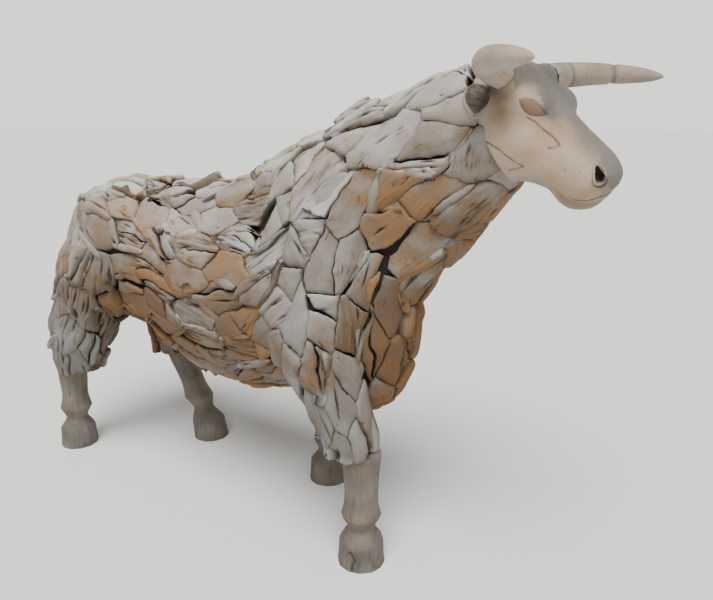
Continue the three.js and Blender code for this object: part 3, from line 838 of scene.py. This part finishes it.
def painted_light_and_bleach(place, out):
    """How much lighter or darker a place of the skin is: sun bleaching with painted light from above, and
    painted shade where it faces forward
    """
    limb = max(ramp(place.x, -0.6, -0.75), ramp(place.x, 0.1, 0.25))
    flank = ramp(place.x, 0.22, 0.02) * ramp(place.x, -0.85, -0.65)
    # What faces up is lighter, partly bleached by the sun and partly painted light from above, except low down
    made = 1.5 * max(0.0, out.z) ** 1.5 * ramp(place.z, 0.45, 0.7)
    # The lower flank and the lower limbs are darker, the breast is painted darker for the shade on what faces
    # forward, and the upper neck is lighter
    made -= 0.15 * flank * ramp(place.z, 1.1, 0.95)
    made -= 0.3 * limb * ramp(place.z, 0.95, 0.62)
    made -= 0.15 * ramp(out.x, 0.4, 0.8) * ramp(place.z, 1.1, 0.9)
    made += 0.4 * ramp(place.x, 0.3, 0.5) * ramp(place.z, 1.1, 1.3)
    return made


warm_pieces = sum(warmth(p.middle, p.out) > 0.5 for p in pieces)
print(warm_pieces, "pieces lie where the teak has stayed warm")

# %% Gather the pieces into regions
# Each region holds the pieces whose middle fits it and none before it. Places are in metres.
CLADDING = {
    "cladding_haunch": lambda p: p.x < -0.62 and p.z > 0.62,
    "cladding_thighs": lambda p: p.x < -0.62,
    "cladding_neck": lambda p: p.x > 0.30 and p.z > 1.0,
    "cladding_forelegs": lambda p: p.z < 0.66 and abs(p.y - 0.022) > 0.1 and p.x > -0.1,
    "cladding_chest": lambda p: p.x > 0.0,
    "cladding_flank": lambda p: p.z > 0.85,
    "cladding_belly": lambda p: True,
}


def link_piece(name, bm, slot, replaced):
    """A finished mesh as a piece that rides on the bull and stands for CAD nodes"""
    # A few chips would stand up to 2 mm outside the CAD model's box, so they are worn flat there
    low, high = cad_box
    for vert in bm.verts:
        vert.co = [min(max(c, least), most) for c, least, most in zip(vert.co, low, high)]
    mesh = bpy.data.meshes.new(name)
    bm.to_mesh(mesh)
    bm.free()
    made = bpy.data.objects.new(name, mesh)
    bpy.context.scene.collection.objects.link(made)
    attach(made, "root")
    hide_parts(*replaced)
    return made


gathered = {name: bmesh.new() for name in CLADDING}
for piece, relief in zip(pieces, reliefs):
    region = next(name for name, holds in CLADDING.items() if holds(piece.middle))
    bm = carve(piece, relief)
    tone = bm.verts.layers.float_color["tone"]
    bm.normal_update()
    for vert in bm.verts:
        warm, light, hollow, _ = vert[tone]
        towards = (piece.out * 2 + vert.normal) / 3
        vert[tone] = (warm + warmth(vert.co, towards), light + painted_light_and_bleach(vert.co, towards), hollow, 1.0)
    part = bpy.data.meshes.new("part")
    bm.to_mesh(part)
    bm.free()
    gathered[region].from_mesh(part)
    bpy.data.meshes.remove(part)

cladding = []
for name, bm in gathered.items():
    print(name, len(bm.faces), "faces", sum(len(f.verts) - 2 for f in bm.faces), "triangles")
    cladding.append(link_piece(name, bm, "root_teak", ["body"]))

# %% [markdown]
# ## The dark inside
#
# Between the pieces one looks onto the dark wood that carries them. A copy of the body stands
# there. Its groove floors stay where they are, and everything that stands above them is smoothed
# down to their level, and is at least a certain depth below its first place, so that no light comes
# through the joints and nothing pokes through a piece. It narrows at the forearms as the cladding
# does.

# %% Inner wood
CORE_DEPTH = 20 * MM
CORE_PASSES = 14


def smooth(bm, verts, passes):
    """Relaxes some vertices between their neighbours, again and again"""
    for _ in range(passes):
        bmesh.ops.smooth_vert(bm, verts=verts, factor=0.5, use_axis_x=True, use_axis_y=True, use_axis_z=True)


core_bm = merged_copy("body")
raised = [v for v in core_bm.verts if not is_sunken(v)]
first = [(v, v.co.copy(), v.normal.copy()) for v in raised]
smooth(core_bm, raised, CORE_PASSES)
for vert, place, normal in first:
    sunk = (place - vert.co).dot(normal)
    vert.co -= normal * max(0.0, CORE_DEPTH - sunk)
for vert in core_bm.verts:
    vert.co = drawn_in(vert.co)
core = link_piece("inner_wood", core_bm, "root_teak", ["body"])
print("inner wood", len(core.data.polygons), "faces")

# %% [markdown]
# ## Carved parts
#
# The head, ears, horns and lower legs are smooth carvings. A merged copy of each CAD node, with its
# triangles joined into quads, is rounded by a subdivision surface. Edges that are truly sharp, such
# as the sole of a hoof, are creased first so that they stay flat. The edges between the facets of a
# shank are creased by half, so that they show and yet are worn soft.

# %% Round a carved part
FACE_BEND = math.radians(35)
SHAPE_BEND = math.radians(50)
SHARP_BEND = math.radians(50)


def rounded(node, levels, firm_bend=math.pi):
    """A finely divided, rounded copy of a CAD node"""
    bm = merged_copy(node)
    bmesh.ops.join_triangles(
        bm, faces=bm.faces[:], angle_face_threshold=FACE_BEND, angle_shape_threshold=SHAPE_BEND
    )
    crease = bm.edges.layers.float.new("crease_edge")
    for edge in bm.edges:
        bend = edge.calc_face_angle(0)
        edge[crease] = 1.0 if bend > SHARP_BEND else 0.5 if bend > firm_bend else 0.0
    mesh = bpy.data.meshes.new("rounded")
    bm.to_mesh(mesh)
    bm.free()
    blank = bpy.data.objects.new("rounded", mesh)
    bpy.context.scene.collection.objects.link(blank)
    soft = blank.modifiers.new("soft", "SUBSURF")
    soft.levels = soft.render_levels = levels
    graph = bpy.context.evaluated_depsgraph_get()
    made = bmesh.new()
    made.from_mesh(blank.evaluated_get(graph).to_mesh())
    bpy.data.objects.remove(blank)
    bpy.data.meshes.remove(mesh)
    for face in made.faces:
        face.smooth = True
    made.normal_update()
    return made


# %% Carved lines and spots
def notch(distance, width):
    """1 on a carved line, 0 beyond its width, round at the bottom"""
    return max(0.0, 1 - (distance / width) ** 2) ** 1.5


def line_distance(place, line):
    """The distance from a place to a line of points"""
    best = 1.0
    for start, end in zip(line, line[1:]):
        along = end - start
        share = min(1.0, max(0.0, (place - start).dot(along) / along.length_squared))
        best = min(best, (place - start - along * share).length)
    return best


def spot(place, middle, reach):
    """1 in the middle of a round spot, falling evenly to 0 at its edge"""
    return max(0.0, 1 - (place - middle).length / reach)


def points(*places):
    """Places given in millimetres"""
    return [Vector(p) * MM for p in places]


print("a notch halfway to its side is", round(notch(0.5, 1), 2), "of its depth")

# %% [markdown]
# ## The head
#
# The CAD head has the big planes of skull, cheeks and muzzle. What the chisel added is moved into
# the fine surface here: an almond eye with a lid line round it, a deep tear-shaped nostril, the line
# of the mouth, and the cracks where the cheek was glued up. The head is the same on both sides, so
# all of it is measured in the head's own frame, with y counted from the middle.

# %% The head's own frame
HEAD_TURN = math.radians(6)
HEAD_PIVOT = BULL_MIDDLE + Vector((0.85, 0, 0))
HEAD_ORIGIN = 0.85


def head_frame(place):
    """A place in the head's frame, where x points forward and y is the distance from the middle"""
    x, y = place.x - HEAD_PIVOT.x, place.y - HEAD_PIVOT.y
    turned = x * math.cos(HEAD_TURN) - y * math.sin(HEAD_TURN)
    aside = x * math.sin(HEAD_TURN) + y * math.cos(HEAD_TURN)
    return Vector((turned + HEAD_ORIGIN, abs(aside), place.z))


reach = max(head_frame(v.co).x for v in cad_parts["head"].data.vertices)
print("the nose is at", round(reach, 3), "in the head's frame")

# %% Where the eye, nostril, mouth and cracks are
EYE_MIDDLE = Vector((946, 112, 1480)) * MM
EYE_HALF = Vector((36, 17)) * MM
EYE_TILT = math.radians(-31)
NOSTRIL = Vector((1112, 60, 1319)) * MM
NOSTRIL_HALF = Vector((26, 13)) * MM
NOSTRIL_AIM = Vector((0.62, 0.78, 0.1)).normalized()
NOSTRIL_LEAN = math.radians(18)
MOUTH = points(
    (972, 60, 1303), (992, 60, 1291), (1010, 60, 1275), (1034, 62, 1261), (1060, 58, 1253), (1087, 51, 1253),
    (1108, 38, 1257), (1122, 20, 1261), (1128, 0, 1262),
)
CHEEK_CRACKS = [
    points(
        (806, 112, 1403), (858, 112, 1378), (888, 105, 1356), (922, 85, 1332), (903, 89, 1327), (882, 90, 1321)
    ),
    points((1040, 52, 1236), (1075, 46, 1240), (1100, 34, 1247)),
    points((935, 110, 1456), (955, 100, 1443), (974, 87, 1424), (995, 80, 1408), (1012, 78, 1390)),
    points((1012, 78, 1390), (1005, 83, 1382), (986, 86, 1381)),
]
print("mouth of", len(MOUTH), "points,", len(CHEEK_CRACKS), "cracks on each cheek")


# %% Shapes of the eye and the nostril
EYE_THICKNESS = 40 * MM
NOSTRIL_REACH = 60 * MM
NOSTRIL_BACK = 32 * MM
NARROWING = 0.45
OUTSIDE = 9.0


def eye_share(place):
    """Where a place lies in the almond of the eye: 0 in its middle, 1 on its lid"""
    x, z = place.x - EYE_MIDDLE.x, place.z - EYE_MIDDLE.z
    u = x * math.cos(EYE_TILT) + z * math.sin(EYE_TILT)
    v = z * math.cos(EYE_TILT) - x * math.sin(EYE_TILT)
    if abs(place.y - EYE_MIDDLE.y) > EYE_THICKNESS:
        return OUTSIDE
    u /= EYE_HALF.x
    return abs(u) ** 2 + abs(v) / EYE_HALF.y


def nostril_share(place):
    """Where a place lies in the tear shape of a nostril: 0 in its middle, 1 on its rim"""
    away = place - NOSTRIL
    if away.length > NOSTRIL_REACH or away.dot(NOSTRIL_AIM) < -NOSTRIL_BACK:
        return OUTSIDE
    aside = away.y * NOSTRIL_AIM.x - away.x * NOSTRIL_AIM.y
    u = away.z * math.cos(NOSTRIL_LEAN) + aside * math.sin(NOSTRIL_LEAN)
    v = aside * math.cos(NOSTRIL_LEAN) - away.z * math.sin(NOSTRIL_LEAN)
    breadth = NOSTRIL_HALF.y * (1 - NARROWING * max(-1.0, min(1.0, u / NOSTRIL_HALF.x)))
    return math.hypot(u / NOSTRIL_HALF.x, v / breadth)


print("share in the middle of the eye", eye_share(EYE_MIDDLE), "and of a nostril", nostril_share(NOSTRIL))

# %% Fill the drilled nostrils
FINE_REACH = 34 * MM
FILL_REACH = 42 * MM
FILL_PASSES = 150


def fill_nostrils(bm):
    """Divides the skin near the nostrils finely and smooths the drilled hollows away"""
    close = [e for e in bm.edges if (head_frame(e.verts[0].co) - NOSTRIL).length < FINE_REACH]
    bmesh.ops.subdivide_edges(bm, edges=close, cuts=1, use_grid_fill=True)
    near = [v for v in bm.verts if (head_frame(v.co) - NOSTRIL).length < FILL_REACH]
    smooth(bm, near, FILL_PASSES)
    for face in bm.faces:
        face.smooth = True
    bm.normal_update()


# %% What the chisel left
LID_LINE = 0.2
LIP_WIDTH = 4.5 * MM
CRACK_WIDTH = 3.4 * MM
CHIN_START = 0.985
CHIN_EDGE = 9 * MM
UNDER_LIP = (1.135, 1.268)
UNDER_LIP_REACH = 50 * MM


def below_mouth(place):
    """0 above the mouth and 1 well below it, for the chin that is set back under the muzzle"""
    for start, end in zip(MOUTH, MOUTH[1:]):
        if start.x <= place.x <= end.x:
            line = start.z + (end.z - start.z) * (place.x - start.x) / (end.x - start.x)
            return min(1.0, max(0.0, (line - place.z) / CHIN_EDGE))
    return 0.0


def marks_at(place):
    """How much of each carved feature is at a place of the head"""
    eye = eye_share(place)
    nose = nostril_share(place)
    lips = notch(line_distance(place, MOUTH), LIP_WIDTH)
    below = math.hypot(place.x - UNDER_LIP[0], place.z - UNDER_LIP[1])
    return SimpleNamespace(
        in_eye=eye < 1,
        lid=notch(eye - 1, LID_LINE) if eye < 2 else 0.0,
        ball=max(0.0, 1 - eye) ** 0.7 if eye < 1 else 0.0,
        lips=lips * min(1.0, max(0.0, (place.x - 1.02) / 0.04)),
        chin=below_mouth(place) * min(1.0, max(0.0, (place.x - CHIN_START) / 0.03)),
        under_lip=max(0.0, 1 - below / UNDER_LIP_REACH),
        cracks=max(notch(line_distance(place, crack), CRACK_WIDTH) for crack in CHEEK_CRACKS),
        hole=max(0.0, 1 - nose * nose) ** 0.8 if nose < 1 else 0.0,
        rim=notch(nose - 1.25, 0.4) if nose < 2 else 0.0,
    )


def carved_height(place, marks):
    """How far the surface of the head moves out at a place, in millimetres"""
    made = 3.0 * rough(place, 55 * MM, 3.0) + 0.6 * rough(place, 18 * MM, 8.0)
    made += 1.5 * marks.ball - 2.2 * marks.lid - 2.4 * marks.cracks
    made += 0.4 * marks.rim - 15 * marks.hole
    return made - 4 * marks.lips - 4 * marks.chin - 13 * marks.under_lip


# %% Tones of the head
BEHIND_EYE = Vector((868, 112, 1470)) * MM
TEMPLE = Vector((858, 114, 1528)) * MM
POLL = Vector((905, 50, 1560)) * MM
CHEEK = Vector((960, 95, 1385)) * MM


def head_tone(place, normal, marks):
    """How warm, light and hollow the head is at a place"""
    behind = spot(place, BEHIND_EYE, 80 * MM)
    cheek = spot(place, CHEEK, 110 * MM)
    side = min(1.0, max(0.0, (abs(normal.y) - 0.35) / 0.4))
    # The forehead and the bridge of the nose form one broad plane that faces up and forward
    plane = ramp(0.8 * normal.x + 0.6 * normal.z, 0.2, 0.8)

    warm = 0.05 + 0.36 * side + 0.4 * behind + 0.35 * marks.chin + 0.6 * marks.in_eye + 0.3 * cheek
    warm += 0.35 * rough(place, 70 * MM, 1.0) - 0.1 * plane

    # The broad plane, the parts that face forward and the end of the nose are painted darker, for the shade on
    # what turns away from the light
    light = 1.08 + 0.35 * rough(place, 90 * MM, 6.0) + 0.3 * cheek - 0.85 * plane
    light -= 0.6 * ramp(normal.x, 0.35, 0.9) + 0.15 * ramp(place.x, 1.0, 1.08)

    # The lid line, the mouth, the cheek cracks and the nostril are painted dark, for the shade in these carved
    # hollows
    lines = max(0.7 * marks.lid, 0.8 * marks.lips, 0.8 * marks.cracks, min(0.92, 2.2 * marks.hole))
    shade = max(0.42 * marks.in_eye, 0.5 * behind, 0.3 * marks.chin, 0.16 * min(1.0, max(0.0, -normal.z)))
    # The temple, in the gap between the ear and the horn, is painted dark for the shade that falls there, and
    # the poll is darker as well
    poll_dark_and_temple_shade = max(0.45 * spot(place, POLL, 110 * MM), 0.85 * spot(place, TEMPLE, 75 * MM))
    return warm, light, max(lines, shade, poll_dark_and_temple_shade), 1.0


# %% Carve the head
def carve_head(bm):
    """Moves the fine surface of the head, and stores its tones"""
    tone = bm.verts.layers.float_color.new("tone")
    normals = {v: v.normal.copy() for v in bm.verts}
    for vert, normal in normals.items():
        place = head_frame(vert.co)
        marks = marks_at(place)
        vert.co += normal * carved_height(place, marks) * MM
        vert[tone] = head_tone(place, normal, marks)


head_bm = rounded("head", 3)
fill_nostrils(head_bm)
carve_head(head_bm)
print("head", len(head_bm.faces), "faces")
head = link_piece("carved_head", head_bm, "carved_teak", ["head"])

# %% [markdown]
# ## Horns, ears and lower legs
#
# These are simpler carvings, with long chisel marks along their length. Two darker bands run round
# the left horn. The edge of each hoof is chipped and worn, and the right front hoof has a crack. The
# scoop of an ear is rough, and it is painted dark for the shade that lies in it.

# %% Bands, hoof crack and ear scoop
HORN_BANDS = [
    (Vector((879, 219, 1574)) * MM, Vector((0.31, 0.95, 0.08)).normalized()),
    (Vector((967, 343, 1579)) * MM, Vector((0.79, 0.61, 0)).normalized()),
]
BAND_WIDTH = 8 * MM
HOOF_CRACK = points(
    (491, -226, 0), (491, -226, 10), (494, -225, 28), (500, -222, 44), (495, -223, 56), (489, -224, 66),
    (477, -227, 71),
)
EAR_ROOT = Vector((789, 108, 1543)) * MM
EAR_TIP = Vector((862, 240, 1452)) * MM
EAR_ALONG = (EAR_TIP - EAR_ROOT).normalized()
EAR_FRONT = Vector((0.55, 0.8, 0.1))
EAR_FRONT = (EAR_FRONT - EAR_ALONG * EAR_FRONT.dot(EAR_ALONG)).normalized()
EAR_ACROSS = EAR_ALONG.cross(EAR_FRONT)
EAR_SCOOP_START = 11 * MM
EAR_SCOOP = Vector((156, 31, 17)) * MM
EAR_SCOOP_LIFT = 14.3 * MM
EAR_SCOOP_SKIN = 5 * MM


def in_ear(place):
    """True in the scoop of an ear, a leaf-shaped hollow that the CAD model sinks into its front"""
    local = head_frame(place) - EAR_ROOT
    share = (local.dot(EAR_ALONG) - EAR_SCOOP_START) / EAR_SCOOP.x
    if not 0 < share < 1:
        return False
    half = EAR_SCOOP.y * math.sin(math.pi * share**0.85) ** 0.75
    aside = local.dot(EAR_ACROSS)
    if abs(aside) > half:
        return False
    floor = EAR_SCOOP_LIFT - EAR_SCOOP.z / EAR_SCOOP.y * math.sqrt(half * half - aside * aside)
    return abs(local.dot(EAR_FRONT) - floor) < EAR_SCOOP_SKIN


def horn_band(place):
    """1 on the two darker bands that run round a horn"""
    local = head_frame(place)
    return max(notch((local - middle).dot(along), BAND_WIDTH) for middle, along in HORN_BANDS)


print("ear", round((EAR_TIP - EAR_ROOT).length, 3), "m long")


# %% Carve the other solid parts
MARK_STRETCH = 0.85
MARK_WIDTH = 22 * MM
FINE_MARK_WIDTH = 9 * MM
SHANK_BEND = math.radians(24)
HOOF_CRACK_WIDTH = 7 * MM
SOLE = 1 * MM
SLOT_OF = {"ear": "carved_teak", "horn": "horn_teak", "lower": "leg_teak"}
LEVELS = {"ear": 3, "horn": 2, "lower": 3}
MARK_DEPTH = {"ear": 0.8 * MM, "horn": 0.8 * MM, "lower": 1.6 * MM}
GRAIN_AXIS = {"ear": Vector((0, 1, 0)), "horn": Vector((0, 1, 0)), "lower": Vector((0, 0, 1))}


def carve_plain(name):
    """A rounded part with chisel marks along its length, and its tones"""
    kind = name.split("_")[0]
    bm = rounded(name, LEVELS[kind], SHANK_BEND if kind == "lower" else math.pi)
    tone = bm.verts.layers.float_color.new("tone")
    low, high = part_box(name)
    grain = GRAIN_AXIS[kind]
    normals = {v: v.normal.copy() for v in bm.verts}
    for vert, normal in normals.items():
        place = vert.co.copy()
        stretched = place - grain * grain.dot(place) * MARK_STRETCH
        marks = rough(stretched, MARK_WIDTH, low.x) + 0.5 * rough(stretched, FINE_MARK_WIDTH, high.y)
        warm = 0.25 + 0.3 * rough(place, 70 * MM, 2.0)
        light = 0.85 + 0.4 * rough(place, 60 * MM, 5.0)
        # The deepest chisel marks are painted darker, for the shade in them
        hollow = min(1.0, max(0.0, -marks - 0.45))
        depth = MARK_DEPTH[kind]
        if kind == "ear":
            light -= 0.45
            # The scoop is painted dark for the shade in it, and its chisel marks are deeper
            if in_ear(place):
                hollow = 0.72 + 0.3 * rough(place, 10 * MM, 4.0)
                depth *= 3
        if kind == "horn":
            warm -= 0.05
            light += 0.25 if name.endswith("right") else -0.2
            banded = 0.6 * horn_band(place) if name.endswith("left") else 0.0
            hollow = max(0.3 * hollow, banded)
        if kind == "lower":
            hoof = ramp(place.z, 0.16, 0.1)
            cracked = notch(line_distance(place, HOOF_CRACK), HOOF_CRACK_WIDTH)
            chipped = max(0.0, rough(place, 24 * MM, 7.0)) * ramp(place.z, 0.024, 0.004)
            warm -= 0.1 + 0.3 * hoof
            light -= 0.48 + 0.22 * hoof
            # The crack is painted dark for the shade in it
            hollow = max(hollow, cracked)
            marks -= 3 * cracked + 4 * chipped
        # The sole stays flat on the ground, and nothing else reaches down to it
        if place.z > SOLE:
            vert.co += normal * depth * marks
            vert.co.z = max(vert.co.z, SOLE / 2)
        vert[tone] = (warm, light, hollow, 1.0)
    return bm


carved = {}
for node in sorted(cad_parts):
    kind = node.split("_")[0]
    if kind in SLOT_OF:
        bm = carve_plain(node)
        print(node, len(bm.faces), "faces")
        carved[node] = link_piece("carved_" + node, bm, SLOT_OF[kind], [node])

# %% [markdown]
# ## Teak
#
# All of the bull is teak, sanded and left without oil. Old teak is silver grey where the weather
# reached it and brown where it was cut or sanded. One function builds the finish from the colours of
# a part. It mixes grey and brown by the stored tone and by soft blotches, draws the fibres as fine
# streaks that are long along the grain, opens some of them as dark cracks, and scatters worm holes.
# Real teak fibres are well under a millimetre wide, too fine to show at this distance, so they are
# drawn 6 to 11 mm wide. Dry teak is matt, with an IOR of about 1.45.

# %% Teak finish
BLOTCH = 58.8 * MM
BROAD_BLOTCH = 166.7 * MM
WORM_SPACING = 23.8 * MM
TEAK_IOR = 1.45


def teak(name, colours, source, stretch, relief, streaks, cracks):
    """Unoiled teak. Colours run from weathered to fresh; stretch is fibres per metre along x, y, z"""
    made, tree, shader = new_material(name)
    tone = add_node(tree, "Attribute", {}, attribute_name="tone")
    tones = add_node(tree, "SeparateColor", {"Color": tone.outputs["Color"]})
    place = add_node(tree, "TexCoord", {}).outputs["Object"]
    start = add_node(tree, "UVMap", {}, uv_map="grain").outputs["UV"] if source == "UV" else place
    along = add_node(tree, "Mapping", {"Vector": start, "Scale": stretch})
    fibres = add_node(
        tree, "TexNoise", {"Vector": along.outputs[0], "Scale": 1.0, "Detail": 6.0, "Roughness": 0.6}
    )
    coarse = add_node(tree, "TexNoise", {"Vector": along.outputs[0], "Scale": 0.2, "Detail": 3.0})
    blotches = add_node(
        tree, "TexNoise", {"Vector": place, "Scale": 1 / BLOTCH, "Detail": 5.0, "Roughness": 0.6}
    )
    wide = add_node(tree, "TexNoise", {"Vector": place, "Scale": 1 / BROAD_BLOTCH, "Detail": 3.0})
    holes = add_node(tree, "TexVoronoi", {"Vector": place, "Scale": 1 / WORM_SPACING})

    # From weathered grey, some of it rosy, through sanded to freshly cut brown
    warm = add_node(
        tree, "Math", {0: blotches.outputs["Fac"], 1: 1.3, 2: tones.outputs["Red"]}, operation="MULTIPLY_ADD"
    )
    rosy = add_node(tree, "MapRange", {"Value": wide.outputs["Fac"], "From Min": 0.42, "From Max": 0.62})
    brown = add_node(tree, "MapRange", {"Value": warm.outputs[0], "From Min": 0.6, "From Max": 1.15})
    fresh = add_node(tree, "MapRange", {"Value": warm.outputs[0], "From Min": 1.05, "From Max": 1.6})
    weathered, dusky, sanded, cut, deep = (colour(c) for c in colours)
    base = add_node(tree, "Mix", {0: rosy.outputs[0], 6: weathered, 7: dusky}, data_type="RGBA")
    base = add_node(tree, "Mix", {0: brown.outputs[0], 6: base.outputs[2], 7: sanded}, data_type="RGBA")
    base = add_node(tree, "Mix", {0: fresh.outputs[0], 6: base.outputs[2], 7: cut}, data_type="RGBA")

    # Fibres, patches and the stored light make it lighter and darker; the stored light holds painted light and
    # painted shade
    contrast = {"From Min": 0.34, "From Max": 0.6, "To Min": 1 - streaks, "To Max": 1.03}
    streak = add_node(tree, "MapRange", {"Value": fibres.outputs["Fac"], **contrast})
    patch = add_node(
        tree,
        "MapRange",
        {"Value": blotches.outputs["Fac"], "From Min": 0.3, "From Max": 0.7, "To Min": 0.9, "To Max": 1.1},
    )
    light = add_node(
        tree, "MapRange", {"Value": tones.outputs["Green"], "From Max": 2.0, "To Min": 0.5, "To Max": 1.6}
    )
    shade = add_node(tree, "Math", {0: streak.outputs[0], 1: light.outputs[0]}, operation="MULTIPLY")
    shade = add_node(tree, "Math", {0: shade.outputs[0], 1: patch.outputs[0]}, operation="MULTIPLY")
    shaded = {0: 1.0, 6: base.outputs[2], 7: shade.outputs[0]}
    base = add_node(tree, "Mix", shaded, data_type="RGBA", blend_type="MULTIPLY")

    # Cracks lie where the coarse fibres cross their mean, worm holes in some broad blotches only
    away = add_node(tree, "Math", {0: coarse.outputs["Fac"], 1: 0.5}, operation="SUBTRACT")
    away = add_node(tree, "Math", {0: away.outputs[0]}, operation="ABSOLUTE")
    crack = add_node(
        tree,
        "MapRange",
        {"Value": away.outputs[0], "From Min": 0.003, "From Max": 0.016, "To Min": cracks, "To Max": 0.0},
    )
    sparse = add_node(
        tree, "MapRange", {"Value": blotches.outputs["Fac"], "From Min": 0.54, "From Max": 0.62}
    )
    crack = add_node(tree, "Math", {0: crack.outputs[0], 1: sparse.outputs[0]}, operation="MULTIPLY")
    worm = add_node(
        tree,
        "MapRange",
        {"Value": holes.outputs["Distance"], "From Min": 0.05, "From Max": 0.1, "To Min": 0.7, "To Max": 0.0},
    )
    few = add_node(tree, "MapRange", {"Value": wide.outputs["Fac"], "From Min": 0.58, "From Max": 0.6})
    worm = add_node(tree, "Math", {0: worm.outputs[0], 1: few.outputs[0]}, operation="MULTIPLY")
    dark = add_node(tree, "Math", {0: crack.outputs[0], 1: worm.outputs[0]}, operation="MAXIMUM")
    # The stored hollow tone, which holds painted shade, also darkens it towards the dark of a crack
    dark = add_node(
        tree, "Math", {0: dark.outputs[0], 1: tones.outputs["Blue"]}, operation="MAXIMUM", use_clamp=True
    )
    base = add_node(tree, "Mix", {0: dark.outputs[0], 6: base.outputs[2], 7: deep}, data_type="RGBA")
    tree.links.new(base.outputs[2], shader.inputs["Base Color"])

    matt = add_node(tree, "MapRange", {"Value": fibres.outputs["Fac"], "To Min": 0.95, "To Max": 0.72})
    tree.links.new(matt.outputs[0], shader.inputs["Roughness"])
    height = add_node(
        tree, "Math", {0: dark.outputs[0], 1: -1.2, 2: fibres.outputs["Fac"]}, operation="MULTIPLY_ADD"
    )
    height = add_node(
        tree, "Math", {0: blotches.outputs["Fac"], 1: 0.8, 2: height.outputs[0]}, operation="MULTIPLY_ADD"
    )
    bump = add_node(tree, "Bump", {"Height": height.outputs[0], "Strength": 0.6, "Distance": relief})
    tree.links.new(bump.outputs[0], shader.inputs["Normal"])
    shader.inputs["IOR"].default_value = TEAK_IOR
    return made


# %% The four teak finishes
def dress(objects, material):
    """Gives objects one material only"""
    for made in objects:
        made.data.materials.clear()
        made.data.materials.append(material)


# Colours from weathered through rosy, sanded and freshly cut to the dark of a crack, which is also the painted
# shade of joints and hollows
ROOT_COLOURS = ("#9c9a93", "#8c837b", "#79654f", "#8a6238", "#1f1915")
HEAD_COLOURS = ("#8f8b83", "#958b81", "#a39078", "#8a7059", "#2f251e")
HORN_COLOURS = ("#989389", "#98897e", "#96836f", "#80654c", "#4a443d")
LEG_COLOURS = ("#78746a", "#787065", "#746453", "#6b523b", "#2e2721")

# Split root is rough, with open cracks
root_teak = teak("weathered_teak_root", ROOT_COLOURS, "UV", (16, 170, 1), 2 * MM, streaks=0.09, cracks=0.8)
# The head was sanded smooth, so it shows faint fibres and no cracks
head_teak = teak(
    "sanded_teak_head", HEAD_COLOURS, "Object", (16, 110, 90), 0.6 * MM, streaks=0.04, cracks=0.0
)
horn_teak = teak(
    "sanded_teak_horn", HORN_COLOURS, "Object", (110, 14, 110), 0.8 * MM, streaks=0.1, cracks=0.4
)
# The shanks were left with their tool marks, so they are rougher, and they are darker
leg_teak = teak("sanded_teak_leg", LEG_COLOURS, "Object", (110, 110, 11), 1.5 * MM, streaks=0.15, cracks=0.6)
dress(cladding, root_teak)
dress([head], head_teak)
dress([p for n, p in carved.items() if n.startswith("ear")], head_teak)
dress([p for n, p in carved.items() if n.startswith("horn")], horn_teak)
dress([p for n, p in carved.items() if n.startswith("lower")], leg_teak)
print("teak on", len(cladding) + 1 + len(carved), "pieces")

# %% [markdown]
# ## The finish of the inside, and the end
#
# The wood inside is never sanded. It is painted nearly black, for the shade that fills the joints, and
# it is dusty and quite matt, with stains about 25 mm wide.

# %% Inner wood finish
STAIN = 25 * MM

dark_wood, tree, shader = new_material("inner_wood_painted_shade")
dusty = add_node(tree, "TexCoord", {})
dust = add_node(tree, "TexNoise", {"Vector": dusty.outputs["Object"], "Scale": 1 / STAIN, "Detail": 4.0})
stain = add_node(
    tree, "Mix", {0: dust.outputs["Fac"], 6: colour("#120e0b"), 7: colour("#2b221b")}, data_type="RGBA"
)
tree.links.new(stain.outputs[2], shader.inputs["Base Color"])
shader.inputs["Roughness"].default_value = 0.95
dress([core], dark_wood)
print("inner wood finished")
